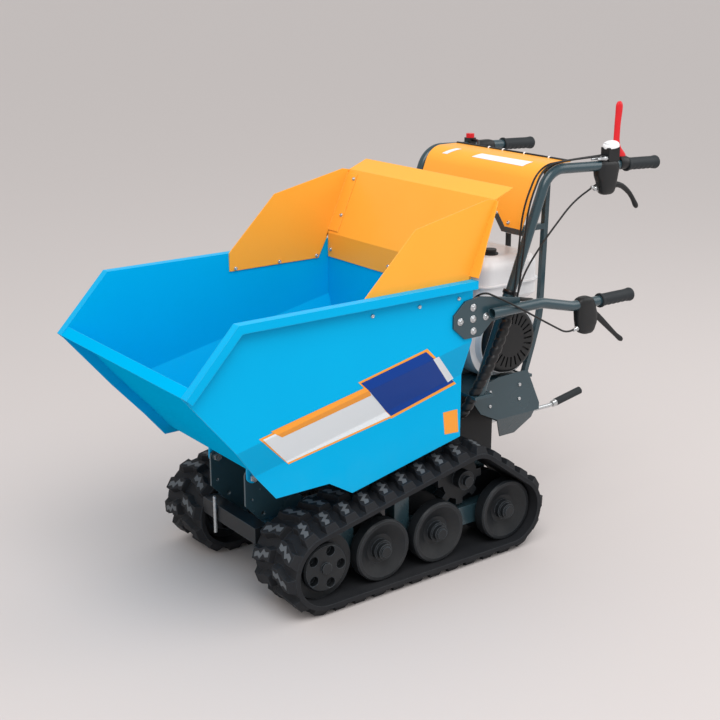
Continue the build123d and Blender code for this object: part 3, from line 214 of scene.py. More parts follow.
def linear(red, green, blue):
    # sRGB 0-255 to linear colour
    share = np.array([red, green, blue]) / 255.0
    value = np.where(share <= 0.04045, share / 12.92, ((share + 0.055) / 1.055) ** 2.4)
    return (*value.tolist(), 1.0)


def groupNode(tree, group, values):
    # a group placed in a material with values of its own
    node = tree.nodes.new("ShaderNodeGroup")
    node.node_tree = group
    for label, value in values.items():
        node.inputs[label].default_value = value
    return node


def mixColour(tree, share, first, second):
    # a mix node's sockets 0, 6 and 7 are its share and two colours, and its output 2 is the colour
    node = tree.nodes.new("ShaderNodeMix")
    node.data_type = "RGBA"
    for index, value in ((0, share), (6, first), (7, second)):
        feed(tree, node.inputs[index], value)
    return node.outputs[2]


def mapRange(tree, value, low, high):
    # low + value * (high - low)
    node = tree.nodes.new("ShaderNodeMapRange")
    node.inputs["To Min"].default_value = low
    node.inputs["To Max"].default_value = high
    tree.links.new(value, node.inputs["Value"])
    return node.outputs["Result"]


# what a finish has where it doesn't say otherwise; dust reaches up to dustTop, in metres from the ground
plainFinish = {"dustTop": 0.5, "dustShare": 0.1, "dustRough": 0.4, "film": 0.0, "coat": 0.0, "coatRough": 0.2,
               "metal": 0.0, "bumpDepth": 0.0006}
printedFinish = {"wear": 0.0, "radius": 0.0004, "rough": (0.25, 0.34), "grain": (200, 1400), "bump": 0.02}

# each finish: its colour, a slightly different one that clouds it, its lighter edges, partly bare wear and
# partly painted highlight, and their radius in metres, its dust, roughness from and to, and the scales of its
# coarse and fine grain
finishes = {
    "blue_paint": {
        "colour": (0, 173, 226), "cloud": (0, 168, 223), "bare": (105, 212, 246),
        "wear": 0.4, "radius": 0.0022, "dust": (120, 168, 178), "dustTop": 0.42, "dustShare": 0.22,
        "rough": (0.26, 0.38), "coat": 0.02, "specular": 0.05, "grain": (90, 700), "bump": 0.04},
    "orange_paint": {
        "colour": (255, 174, 62), "cloud": (254, 169, 56), "bare": (255, 206, 120),
        "wear": 0.4, "radius": 0.002, "dust": (210, 180, 130),
        "rough": (0.28, 0.4), "coat": 0.06, "specular": 0.15, "grain": (90, 700), "bump": 0.04},
    "frame_paint": {
        "colour": (43, 68, 77), "cloud": (38, 61, 69), "bare": (112, 136, 144),
        "wear": 0.45, "radius": 0.0018, "dust": (112, 114, 110), "dustTop": 0.45, "dustShare": 0.12,
        "rough": (0.22, 0.3), "coat": 0.3, "specular": 0.5, "grain": (140, 900), "bump": 0.06},
    "track_rubber": {
        "colour": (31, 33, 37), "cloud": (26, 28, 32), "bare": (78, 84, 90),
        "wear": 0.4, "radius": 0.003, "dust": (96, 93, 90), "dustTop": 0.4,
        "rough": (0.6, 0.8), "specular": 0.25, "grain": (160, 1100), "bump": 0.25},
    "wheel_black": {
        "colour": (26, 30, 34), "cloud": (21, 25, 29), "bare": (98, 108, 116),
        "wear": 0.9, "radius": 0.002, "dust": (104, 100, 95), "dustTop": 0.3, "dustShare": 0.14,
        "rough": (0.4, 0.56), "coat": 0.1, "specular": 0.3, "grain": (120, 900), "bump": 0.1},
    "black_plastic": {
        "colour": (27, 29, 31), "cloud": (22, 24, 26), "bare": (58, 61, 64),
        "wear": 0.3, "radius": 0.0012, "dust": (110, 106, 100), "film": 0.01, "dustShare": 0.2,
        "rough": (0.38, 0.52), "specular": 0.4, "grain": (420, 1800), "bump": 0.15},
    "cable_black": {
        "colour": (22, 23, 25), "cloud": (18, 19, 21), "bare": (48, 50, 52),
        "wear": 0.2, "radius": 0.001, "dust": (110, 106, 100), "dustShare": 0.2,
        "rough": (0.32, 0.46), "specular": 0.4, "grain": (300, 1500), "bump": 0.06},
    "grip_rubber": {
        "colour": (38, 44, 48), "cloud": (32, 37, 41), "bare": (68, 76, 82),
        "wear": 0.25, "radius": 0.0015, "dust": (110, 106, 100), "dustTop": 0.4, "dustShare": 0.2,
        "rough": (0.5, 0.66), "specular": 0.35, "grain": (500, 2200), "bump": 0.3},
    "tank_white": {
        "colour": (243, 243, 245), "cloud": (239, 239, 241), "bare": (246, 245, 244),
        "wear": 0.2, "radius": 0.002, "dust": (190, 183, 174), "dustTop": 0.6, "dustShare": 0.22,
        "rough": (0.25, 0.36), "coat": 0.3, "specular": 0.4, "grain": (80, 600), "bump": 0.03},
    "engine_alloy": {
        "colour": (150, 152, 154), "cloud": (128, 130, 132), "bare": (205, 207, 209),
        "wear": 0.4, "radius": 0.0015, "dust": (110, 104, 96), "dustTop": 0.6, "film": 0.04, "dustShare": 0.5,
        "rough": (0.42, 0.6), "specular": 0.5, "metal": 0.75, "grain": (260, 1200), "bump": 0.3},
    "zinc_steel": {
        "colour": (208, 211, 213), "cloud": (190, 193, 196), "bare": (232, 233, 235),
        "wear": 0.3, "radius": 0.001, "dust": (130, 124, 114), "dustTop": 0.3, "dustShare": 0.2,
        "rough": (0.2, 0.34), "specular": 0.5, "metal": 0.85, "grain": (200, 1500), "bump": 0.06},
    "red_plastic": {
        "colour": (218, 40, 47), "cloud": (210, 34, 41), "bare": (240, 112, 110),
        "wear": 0.3, "radius": 0.0014, "dust": (150, 130, 120),
        "rough": (0.28, 0.4), "coat": 0.1, "specular": 0.2, "grain": (300, 1500), "bump": 0.06},
    # paler grey for the tread strips: partly scuffs, partly painted highlight
    "scuff_and_highlight_grey": {
        "colour": (104, 108, 112), "cloud": (78, 82, 86), "bare": (130, 134, 138),
        "wear": 0.2, "radius": 0.001, "dust": (120, 116, 112), "dustTop": 0.4,
        "rough": (0.6, 0.8), "specular": 0.25, "grain": (160, 1100), "bump": 0.2},
    "decal_white": {
        **printedFinish, "colour": (226, 232, 236), "cloud": (222, 228, 233), "bare": (232, 236, 240),
        "dust": (190, 190, 188), "coat": 0.1, "specular": 0.25},
    "decal_orange": {
        **printedFinish, "colour": (244, 160, 58), "cloud": (241, 154, 52), "bare": (250, 180, 90),
        "dust": (200, 170, 130), "coat": 0.1, "specular": 0.2},
    "decal_navy": {
        **printedFinish, "colour": (8, 62, 146), "cloud": (6, 56, 138), "bare": (60, 110, 180),
        "dust": (120, 140, 160), "coat": 0.06, "specular": 0.12},
}
# the skip's front looks down at the pale floor, so its paint has no gloss
finishes["blue_dull"] = {**finishes["blue_paint"], "coat": 0.0, "specular": 0.0}


def makeFinish(name, given):
    # colour = cloudy paint, lighter edges that are partly worn paint and partly painted highlight, then dust;
    # roughness = rough(cloud) + dustRough * dust
    spec = {**plainFinish, **given}
    material = bpy.data.materials.new(name)
    material.use_nodes = True
    tree = material.node_tree
    shader = tree.nodes["Principled BSDF"]
    coarse, fine = spec["grain"]
    wear = groupNode(tree, edgeWearAndHighlight, {"Radius": spec["radius"]})
    dust = groupNode(tree, siteDust, {"Top": spec["dustTop"], "Film": spec["film"]})
    grain = groupNode(tree, fineGrain, {"Coarse": coarse, "Fine": fine})
    paint = mixColour(tree, grain.outputs["Cloud"], linear(*spec["cloud"]), linear(*spec["colour"]))
    # edges lightened: partly wear, partly a painted highlight on the rims
    wornAndLit = mathNode(tree, "MULTIPLY", wear.outputs["Mask"], spec["wear"])
    paint = mixColour(tree, wornAndLit, paint, linear(*spec["bare"]))
    dusty = mathNode(tree, "MULTIPLY", dust.outputs["Mask"], spec["dustShare"])
    paint = mixColour(tree, dusty, paint, linear(*spec["dust"]))
    tree.links.new(paint, shader.inputs["Base Color"])
    rough = mapRange(tree, grain.outputs["Cloud"], *spec["rough"])
    dull = mathNode(tree, "MULTIPLY", dusty, spec["dustRough"])
    tree.links.new(mathNode(tree, "ADD", rough, dull, clamp=True), shader.inputs["Roughness"])
    bump = tree.nodes.new("ShaderNodeBump")
    bump.inputs["Strength"].default_value = spec["bump"]
    bump.inputs["Distance"].default_value = spec["bumpDepth"]
    tree.links.new(grain.outputs["Height"], bump.inputs["Height"])
    tree.links.new(wear.outputs["Normal"], bump.inputs["Normal"])
    tree.links.new(bump.outputs["Normal"], shader.inputs["Normal"])
    shader.inputs["Metallic"].default_value = spec["metal"]
    shader.inputs["Specular IOR Level"].default_value = spec["specular"]
    shader.inputs["Coat Weight"].default_value = spec["coat"]
    shader.inputs["Coat Roughness"].default_value = spec["coatRough"]
    return material


materials = {name: makeFinish(name, spec) for name, spec in finishes.items()}
slotOf = {piece["node"]: piece["material_slot"] for piece in frame["record"]["subparts"]}
# nodes that look other than their slot says
ownLooks = {"cheek_plates": "wheel_black", "cross_members": "wheel_black", "skip_front": "blue_dull"}
for name, node in nodes.items():
    node.data.materials.clear()
    node.data.materials.append(materials[ownLooks.get(name, slotOf[name])])
print("finishes:", len(materials))


# new pieces: whole-array surfaces

def closePoles(mesh):
    # corners that lie on one point become one corner, so that poles and seams are closed
    surface = bmesh.new()
    surface.from_mesh(mesh)
    bmesh.ops.remove_doubles(surface, verts=surface.verts, dist=1e-6)
    surface.to_mesh(mesh)
    surface.free()


def addPiece(name, body, finish, verts, faces, slot=None, smooth=True):
    # a mesh at its place in metres that rides its body, in its finish; the slot argument is not used
    mesh = bpy.data.meshes.new(name)
    mesh.from_pydata(verts.tolist(), [], [list(face) for face in faces])
    closePoles(mesh)
    mesh.polygons.foreach_set("use_smooth", np.full(len(mesh.polygons), smooth))
    mesh.materials.append(materials[finish])
    mesh.update()
    piece = bpy.data.objects.new(name, mesh)
    bpy.context.scene.collection.objects.link(piece)
    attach(piece, body)
    return piece


def joinMeshes(parts):
    # vertices end to end, each part's faces moved on by the vertices before it
    starts = np.cumsum([0] + [len(verts) for verts, _ in parts])
    faces = [np.asarray(face) + start for start, (_, own) in zip(starts, parts) for face in own]
    return np.concatenate([verts for verts, _ in parts]), faces


def unit(vectors):
    # v / |v|
    vectors = np.asarray(vectors, dtype=float)
    return vectors / np.linalg.norm(vectors, axis=-1, keepdims=True)


def ringAngles(sides):
    # a(k) = 2 pi k / sides
    return np.arange(sides) * 2 * math.pi / sides


def lengthsAlong(line):
    # distance of each point of a line from its first point, along the line
    return np.concatenate([[0], np.cumsum(np.linalg.norm(np.diff(line, axis=0), axis=1))])


def readLine(places, lengths, line):
    # the line's columns at any distances along it
    return np.stack([np.interp(places, lengths, column) for column in line.T], axis=-1)


def gridFaces(rows, columns, closed):
    # quads of a rows x columns grid, its columns joined into a ring where closed
    last = columns if closed else columns - 1
    row, column = np.meshgrid(np.arange(rows - 1), np.arange(last), indexing="ij")
    here, after = row * columns + column, row * columns + (column + 1) % columns
    return np.stack([here, after, after + columns, here + columns], axis=-1).reshape(-1, 4)


def closeEnds(rings, ends):
    # one more ring at each end with all its corners on one point, which closePoles makes a pole
    poles = np.repeat(ends[:, None, :], rings.shape[1], axis=1)
    return np.concatenate([poles[:1], rings, poles[1:]])


def blendCorners(corners, rows, columns):
    # bilinear blend: the first row runs from corner 0 to 1 and the last from corner 3 to 2
    corner = np.asarray(corners, dtype=float)
    across, down = np.meshgrid(np.linspace(0, 1, columns), np.linspace(0, 1, rows))
    across, down = across[..., None], down[..., None]
    first = corner[0] * (1 - across) + corner[1] * across
    last = corner[3] * (1 - across) + corner[2] * across
    return np.moveaxis(first * (1 - down) + last * down, -1, 0)


def headFrames(outward):
    # two directions square to each outward direction, by an aid along z, or along x for one that is
    # nearly upright
    nearlyUpright = 0.9
    outward = unit(outward)
    aid = np.where(np.abs(outward[:, 2:]) > nearlyUpright, np.array([1.0, 0, 0]), np.array([0, 0, 1.0]))
    side = unit(np.cross(aid, outward))
    return outward, side, np.cross(outward, side)


def lathePieces(places, outward, profile, sides):
    # point = place + r(k) * (cos a * side + sin a * up) + h(k) * outward, for profile step k and angle a;
    # a profile that runs down its axis has its faces turned over, so that they look outwards
    outward, side, up = headFrames(outward)
    places = toMetres(places)
    radius, height = np.asarray(profile, dtype=float).T / 1000.0
    angle = ringAngles(sides)
    ring = np.cos(angle)[:, None] * side[:, None, :] + np.sin(angle)[:, None] * up[:, None, :]
    verts = places[:, None, None, :] + radius[None, :, None, None] * ring[:, None, :, :]
    verts = verts + height[None, :, None, None] * outward[:, None, None, :]
    quads = gridFaces(len(radius), sides, True)
    quads = quads[:, ::-1] if height[-1] < height[0] else quads
    starts = np.arange(len(places)) * len(radius) * sides
    faces = quads[None] + starts[:, None, None]
    return verts.reshape(-1, 3), faces.reshape(-1, 4)


# a dome-headed bolt with a socket on its washer, and a small cap screw for the sheets: (radius, height) in mm
# from the socket's bottom outwards
boltHead = {"sides": 14, "profile": [
    (0, 1.6), (2.4, 1.6), (2.5, 4.6), (4.4, 4.4), (6.0, 2.9), (6.3, 1.4), (6.4, 1.3), (9.4, 1.2), (9.7, 0.4),
    (9.7, -0.4)]}
screwHead = {"sides": 14, "profile": [
    (0, 1.8), (1.9, 1.8), (2.0, 4.4), (3.4, 4.2), (4.6, 3.2), (5.1, 1.6), (5.2, -0.4)]}

# rows of bolts: (y, z) on a face at a distance from the mid-plane, or places across the machine
guardBolts = {"innerX": 302.0, "row": [(18, 729), (158, 729), (281, 730)]}
footBolts = {"across": (-288, -24, 240), "y": 321, "z": 744}
tipBolts = {"x": 314.0, "row": [(283, 672), (324, 702), (324, 673), (366, 673), (326, 642)]}
rearGuardBolts = {"x": 208, "row": [(483, 423), (589, 424), (484, 383), (589, 384)]}
tabBolts = {"x": 265, "footY": 318, "footZ": 790, "heights": (938, 842)}
coverBolts = [(118, 571.0, 880), (172, 564.3, 863)]


def addBolts(name, body, places, outward, head=screwHead):
    # one head turned about the outward direction at each place, all of them one piece
    outward = np.broadcast_to(np.asarray(outward, dtype=float), (len(places), 3))
    addPiece(name, body, "zinc_steel", *lathePieces(places, outward, head["profile"], head["sides"]))


def onFace(x, row):
    # a row's places on the face at x
    return [(x, y, z) for y, z in row]


for label, side in bothSides.items():
    inner = onFace(side * guardBolts["innerX"], guardBolts["row"])
    addBolts("guard_bolts_" + label, "skip", inner, (-side, 0, 0))
    addBolts("wall_bolts_" + label, "skip", onFace(side * wallX, guardBolts["row"]), (side, 0, 0))
footRow = [(x, footBolts["y"], footBolts["z"]) for x in footBolts["across"]]
addBolts("guard_foot_bolts", "skip", footRow, (0, -1, 0))
addBolts("tip_plate_bolts", "skip", onFace(tipBolts["x"], tipBolts["row"]), (1, 0, 0), boltHead)
for label, side in bothSides.items():
    outer = onFace(side * rearGuardBolts["x"], rearGuardBolts["row"])
    addBolts("rear_guard_bolts_" + label, "chassis", outer, (side, 0, 0))
tabRow = [(tabBolts["footY"] + (z - tabBolts["footZ"]) * guardLean, z) for z in tabBolts["heights"]]
for label, side in bothSides.items():
    addBolts("guard_tab_bolts_" + label, "skip", onFace(side * tabBolts["x"], tabRow), guardSquare)
coverRow = [(side * x, y, z) for side in bothSides.values() for x, y, z in coverBolts]
addBolts("cover_bolts", "chassis", coverRow, postSquare)
print("bolts placed")


def slabPiece(outline, normal, thick):
    # flat slab: the outline's corners moved half the thickness both ways along the normal, edges joined
    outline = np.asarray(outline, dtype=float)
    normal = unit(normal)
    count = len(outline)
    verts = np.concatenate([outline + normal * thick / 2, outline - normal * thick / 2])
    here = np.arange(count)
    after = (here + 1) % count
    edges = np.stack([here, here + count, after + count, after], axis=1).tolist()
    faces = [here.tolist(), (here[::-1] + count).tolist()] + edges
    area = np.cross(outline - outline[0], np.roll(outline, -1, axis=0) - outline[0]).sum(axis=0)
    faces = faces if area @ normal > 0 else [face[::-1] for face in faces]
    return toMetres(verts), faces


# the back guard's ears outside the side guards: (distance from the mid-plane, height) round an ear, and
# how far each of them reaches
guardEars = {"edge": [(302, 958), (313, 958), (319, 915), (324, 865), (331, 825), (336, 799), (337, 781),
                      (302, 780)],
             "reach": {"left": 337, "right": 326}, "footY": 321.5, "footZ": 790, "thick": 3.0}


def earOutline(label):
    # x = side * min(distance, reach); y = footY + lean * (z - footZ)
    distance, z = np.asarray(guardEars["edge"], dtype=float).T
    x = bothSides[label] * np.minimum(distance, guardEars["reach"][label])
    y = guardEars["footY"] + guardLean * (z - guardEars["footZ"])
    return np.stack([x, y, z], axis=1)


ears = joinMeshes([slabPiece(earOutline(label), guardSquare, guardEars["thick"]) for label in bothSides])
addPiece("guard_ears", "skip", "orange_paint", *ears, smooth=False)

# dark edge below the console cover: (distance across, distance up the lean) along its middle, and how each of
# these points is mitred
coverEdge = {"middle": [(-226, 0), (-160, 0), (-120, 32), (120, 32), (160, 0), (226, 0)],
             "turn": (0, 1, 1, -1, -1, 0), "mitre": 0.354, "low": -8.2, "high": 6.0,
             "foot": (0, 566.6, 843), "lift": 9.9, "thick": 2.4}


def coverEdgeOutline(spec):
    # corner = foot + x + (height + offset) * up + lift * square, with x = across - turn * mitre * offset,
    # along the middle at the low offset and back at the high one
    across, height = np.asarray(spec["middle"], dtype=float).T
    lifted = np.asarray(spec["foot"]) + spec["lift"] * np.asarray(postSquare)
    corners = []
    for offset in (spec["low"], spec["high"]):
        row = lifted + np.outer(height + offset, postUp)
        row[:, 0] += across - np.asarray(spec["turn"]) * spec["mitre"] * offset
        corners.append(row)
    return np.concatenate([corners[0], corners[1][::-1]])


edge = slabPiece(coverEdgeOutline(coverEdge), postSquare, coverEdge["thick"])
addPiece("cover_edge", "chassis", "frame_paint", *edge, smooth=False)
print("ears and cover edge placed")


# printed band across the folded side of the skip: each quad's finish, how far it lies off the sheet, and its
# corners as (distance forward along the fold, distance up square to it)
sideBand = {"foldY": 316.0, "foldZ": 613.0, "slope": 11.8, "drop": 94.0, "inset": 37.0,
            "rows": 60, "columns": 90}
bandQuads = {
    "band_white_edge": ("decal_orange", 0.35, [(626, 10), (314, 10), (238, -116), (546, -104)]),
    "band_white": ("decal_white", 0.7, [(617, 5), (314, 5), (243, -111), (548, -99)]),
    "band_orange": ("decal_orange", 1.0, [(593, 15), (320, 12), (306, -18), (565, -14)]),
    "band_navy_edge": ("decal_orange", 0.6, [(340, 32), (128, 34), (30, -112), (242, -118)]),
    "band_navy": ("decal_navy", 1.2, [(333, 27), (133, 28), (36, -104), (241, -111)]),
    "band_tab": ("decal_white", 1.5, [(116, 1), (98, 1), (36, -94), (55, -97)]),
    "side_plate": ("decal_orange", 0.5, [(84, -171), (38, -181), (46, -243), (90, -231)]),
}


def foldedPatch(corners, lift):
    # x = wall - inset * clamp(-up / drop) + lift; y and z run along the fold and square to it
    along, up = blendCorners(corners, sideBand["rows"], sideBand["columns"])
    slope = math.radians(sideBand["slope"])
    x = wallX - sideBand["inset"] * np.clip(-up / sideBand["drop"], 0, 1) + lift
    y = sideBand["foldY"] - along * math.cos(slope) - up * math.sin(slope)
    z = sideBand["foldZ"] - along * math.sin(slope) + up * math.cos(slope)
    faces = gridFaces(sideBand["rows"], sideBand["columns"], False)[:, ::-1]
    return toMetres(np.stack([x, y, z], axis=-1).reshape(-1, 3)), faces


for name, (finish, lift, corners) in bandQuads.items():
    addPiece(name, "skip", finish, *foldedPatch(corners, lift), slot="blue_paint")
print("side band placed")


# paler strips on the tread bars, partly scuffs and partly painted highlight on the bars' upward flanks: the
# belt's wheels as (y, z, radius), and a strip's middle line as (across, along) on each bar
treadWearAndHighlight = {"wheels": [(-112, 114, 98), (355, 222, 86), (488, 112, 96)], "arcSteps": 200, "centreX": 224,
             "pitch": 60, "height": 16.4, "probe": 0.5, "steepest": -0.2, "halfWidth": 6.5,
             "strip": [(14, 9), (27, 4), (36, 10), (48, -7), (57, -2), (71, -10)]}


def beltLine(wheels, arcSteps):
    # tangent runs joined by arcs: each run leaves its wheel at angle = heading + acos((r1 - r2) / distance)
    wheels = np.asarray(wheels, dtype=float)
    after = np.roll(wheels, -1, axis=0)
    run = after[:, :2] - wheels[:, :2]
    heading = np.arctan2(run[:, 1], run[:, 0])
    leave = heading + np.arccos((wheels[:, 2] - after[:, 2]) / np.hypot(*run.T))
    reach = np.roll(leave, 1)
    sweep = (reach - leave) % (2 * math.pi)
    angle = reach[:, None] - sweep[:, None] * np.linspace(0, 1, arcSteps)
    arcs = wheels[:, None, :2] + wheels[:, None, 2:] * np.stack([np.cos(angle), np.sin(angle)], axis=-1)
    line = arcs.reshape(-1, 2)
    return np.concatenate([line, line[:1]])


def treadStrips(side):
    # point = place(s) + along * run(s) + height * outward(s); every other bar is on the belt's other half
    line = beltLine(treadWearAndHighlight["wheels"], treadWearAndHighlight["arcSteps"])
    lengths = lengthsAlong(line)
    bars = 2 * round(lengths[-1] / treadWearAndHighlight["pitch"])
    places = np.arange(bars) * lengths[-1] / bars
    behind, before = ((places + step) % lengths[-1] for step in (-treadWearAndHighlight["probe"], treadWearAndHighlight["probe"]))
    ahead = unit(readLine(before, lengths, line) - readLine(behind, lengths, line))
    outward = np.stack([-ahead[:, 1], ahead[:, 0]], axis=1)
    half = np.where(np.arange(bars) % 2 == 0, -1, 1)
    shown = outward[:, 1] > treadWearAndHighlight["steepest"]
    foot = readLine(places, lengths, line)
    foot, ahead, outward, half = (part[shown] for part in (foot, ahead, outward, half))
    across, along = np.asarray(treadWearAndHighlight["strip"], dtype=float).T
    x = side * (treadWearAndHighlight["centreX"] + half[:, None] * across)
    top = foot + treadWearAndHighlight["height"] * outward
    edges = []
    for offset in (-treadWearAndHighlight["halfWidth"], treadWearAndHighlight["halfWidth"]):
        flat = top[:, None, :] + (along + offset)[:, None] * ahead[:, None, :]
        edges.append(np.concatenate([x[..., None], flat], axis=-1))
    quads = gridFaces(2, len(across), False)
    quads = np.where((side * half < 0)[:, None, None], quads[:, ::-1], quads)
    starts = np.arange(len(foot)) * 2 * len(across)
    faces = quads + starts[:, None, None]
    return toMetres(np.stack(edges, axis=1).reshape(-1, 3)), faces.reshape(-1, 4)


for label, side in bothSides.items():
    strips = treadStrips(side)
    # the strips paint partly scuffs and partly a highlight on the lit flanks of the bars
    addPiece("tread_scuff_and_highlight_" + label, "chassis", "scuff_and_highlight_grey", *strips, slot="track_rubber", smooth=False)
print("tread worn")


# wrapped loom beside the left post: a tube whose wall rises in a helix; the aid never runs along the route
loomWrap = {"radius": 14.5, "dip": 3.0, "pitch": 24.0, "sides": 24, "step": 2.5, "aid": (0.3, -1.0, 0.2),
            "route": [(268, 486, 662), (275, 474, 638), (277, 453, 596), (277, 430, 551), (274, 414, 518),
                      (263, 404, 486), (248, 394, 450), (230, 382, 402), (205, 371, 374), (110, 365, 364),
                      (60, 365, 300)]}


def routeLine(name, route):
    # smooth line: NURBS with the route's points as its control points, read back as a mesh line
    curve = bpy.data.curves.new(name, "CURVE")
    curve.dimensions = "3D"
    spline = curve.splines.new("NURBS")
    spline.points.add(len(route) - 1)
    flat = np.concatenate([toMetres(route), np.ones((len(route), 1))], axis=1)
    spline.points.foreach_set("co", flat.ravel())
    spline.order_u = 3
    spline.use_endpoint_u = True
    spline.resolution_u = 24
    holder = bpy.data.objects.new(name, curve)
    mesh = bpy.data.meshes.new_from_object(holder)
    line = np.empty(len(mesh.vertices) * 3)
    mesh.vertices.foreach_get("co", line)
    bpy.data.objects.remove(holder)
    bpy.data.curves.remove(curve)
    bpy.data.meshes.remove(mesh)
    return line.reshape(-1, 3)


def wrappedTube(line, spec):
    # wall radius = radius - dip * (0.5 - 0.5 cos(2 pi s / pitch - angle)) ** 3, carried along the line
    # in even steps
    lengths = lengthsAlong(line)
    places = np.linspace(0, lengths[-1], int(lengths[-1] * 1000.0 / spec["step"]))
    points = readLine(places, lengths, line)
    forward = unit(np.gradient(points, axis=0))
    side = unit(np.cross(forward, spec["aid"]))
    up = np.cross(forward, side)
    angle = ringAngles(spec["sides"])
    phase = 2 * math.pi * places[:, None] * 1000.0 / spec["pitch"] - angle
    radius = (spec["radius"] - spec["dip"] * (0.5 - 0.5 * np.cos(phase)) ** 3) / 1000.0
    ring = np.cos(angle)[None, :, None] * side[:, None, :] + np.sin(angle)[None, :, None] * up[:, None, :]
    rings = closeEnds(points[:, None, :] + radius[..., None] * ring, points[[0, -1]])
    return rings.reshape(-1, 3), gridFaces(len(rings), spec["sides"], True)


loom = wrappedTube(routeLine("loom_route", loomWrap["route"]), loomWrap)
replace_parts(addPiece("loom_wrap", "chassis", "cable_black", *loom), "cable_loom")
print("loom wrapped")


# rubber grips: a flange at the front, finger waves underneath and a rounded knob at the rear; the profile is
# (share of the length, radius)
gripShape = {"profile": [(0.012, 0), (0.0, 13.8), (0.0, 18.6), (0.012, 19.4), (0.045, 19.4), (0.06, 18.6),
                         (0.075, 16.9), (0.2, 16.6), (0.5, 16.8), (0.8, 16.6), (0.88, 17.4), (0.94, 18.4),
                         (0.975, 17.4), (0.993, 13.0), (0.9995, 6.0), (0.9999, 0)],
             "length": 122.0, "waves": 5, "waveFrom": 0.14, "waveTo": 0.86, "dip": 2.6,
             "sides": 36, "rows": 110}
grips = {
    "bar_grip_skins": {"body": "chassis", "of": "handlebar_grips", "fall": barFall,
                       "ends": [(245, 1038, 988), (-245, 1038, 988)]},
    "tip_grip_skin": {"body": "skip", "of": "tip_grip", "fall": 0.0, "ends": [(326, 876, 656)]},
}


def gripSkin(end, fall):
    # radius = profile(u) - dip * (0.5 - 0.5 cos(2 pi waves v)) ** 2 * max(0, -sin a) ** 1.5, at u along the
    # axis and angle a, with v the share of the waves' own stretch
    shape = gripShape
    front, end = toMetres([np.asarray(end) + shape["length"] * np.array([0, -1, fall]), end])
    profile = np.asarray(shape["profile"], dtype=float)
    lengths = lengthsAlong(profile * [shape["length"], 1.0])
    share, radius = readLine(np.linspace(0, lengths[-1], shape["rows"]), lengths, profile).T
    side = np.array([1.0, 0, 0])
    up = np.cross(side, unit(end - front))
    angle = ringAngles(shape["sides"])
    run = np.clip((share - shape["waveFrom"]) / (shape["waveTo"] - shape["waveFrom"]), 0, 1)
    wave = (0.5 - 0.5 * np.cos(2 * math.pi * shape["waves"] * run)) ** 2
    under = np.clip(-np.sin(angle), 0, 1) ** 1.5
    wall = (radius[:, None] - shape["dip"] * wave[:, None] * under) / 1000.0
    ring = np.cos(angle)[:, None] * side + np.sin(angle)[:, None] * up
    verts = front + share[:, None, None] * (end - front) + wall[..., None] * ring
    return verts.reshape(-1, 3), gridFaces(shape["rows"], shape["sides"], True)[:, ::-1]


for name, spec in grips.items():
    skin = joinMeshes([gripSkin(end, spec["fall"]) for end in spec["ends"]])
    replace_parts(addPiece(name, spec["body"], "grip_rubber", *skin), spec["of"])
print("grips shaped")


# moulded hand controls: (y, z, half depth, half width) along each one's middle line, in a plane at one x
mouldShape = {"rowsPerKnot": 6, "sides": 28, "blur": (1, 2, 3, 2, 1)}
moulded = {
    "bar_lever_skins": {
        "body": "chassis", "finish": "black_plastic", "of": "hand_levers", "at": (245, -245), "power": 2.4,
        "line": [
            (853, 934, 7.5, 7.0), (870, 940, 8.2, 7.4), (888, 941, 8.0, 7.2), (906, 935, 7.4, 6.8),
            (922, 925, 6.8, 6.4), (938, 912, 6.2, 6.0), (951, 897, 5.8, 5.8), (960, 884, 6.6, 6.4),
            (966, 875, 7.4, 7.2), (970, 869, 4.2, 4.2)]},
    "tip_lever_skin": {
        "body": "skip", "finish": "black_plastic", "of": "tip_lever", "at": (326,), "power": 2.4,
        "line": [
            (740, 624, 7.8, 7.0), (752, 614, 8.2, 7.2), (767, 601, 8.0, 7.0), (781, 589, 7.4, 6.8),
            (796, 576, 6.8, 6.4), (811, 563, 6.2, 6.0), (825, 551, 5.8, 5.8), (838, 541, 6.6, 6.4),
            (846, 535, 7.4, 7.2), (851, 531, 4.2, 4.2)]},
    "bar_perch_skins": {
        "body": "chassis", "finish": "black_plastic", "of": "lever_perches", "at": (245, -245), "power": 3.2,
        "line": [
            (846, 918, 14, 9), (846, 923, 24, 13.5), (846, 938, 28, 17), (845, 958, 33, 18.5),
            (843, 976, 39, 19), (843, 989, 40, 19), (844, 1001, 37, 18), (844, 1010, 30, 13),
            (844, 1012, 16, 7)]},
    "tip_perch_skin": {
        "body": "skip", "finish": "black_plastic", "of": "tip_perch", "at": (326,), "power": 3.2,
        "line": [
            (712, 574, 14, 9), (712, 579, 24, 13), (709, 597, 34, 15.5), (707, 620, 36.5, 16.5),
            (701, 645, 33, 17.5), (697, 660, 30, 18), (696, 671, 26, 16), (696, 676, 12, 9)]},
    "throttle_lever_skin": {
        "body": "chassis", "finish": "red_plastic", "of": "throttle_lever", "at": (240,), "power": 2.6,
        "line": [
            (912, 990, 8.0, 7.0), (908, 998, 14.0, 9.0), (900, 1013, 16.5, 9.5), (889, 1030, 12.0, 8.5),
            (883, 1044, 9.2, 7.2), (881, 1060, 8.6, 6.6), (881.5, 1080, 8.8, 6.2), (882, 1103, 9.2, 6.0),
            (884, 1125, 10.2, 6.0), (885, 1142, 11.2, 6.2), (885, 1152, 10.8, 6.0), (884.5, 1158.5, 8.0, 4.6),
            (884, 1161.5, 3.0, 2.0)]},
}


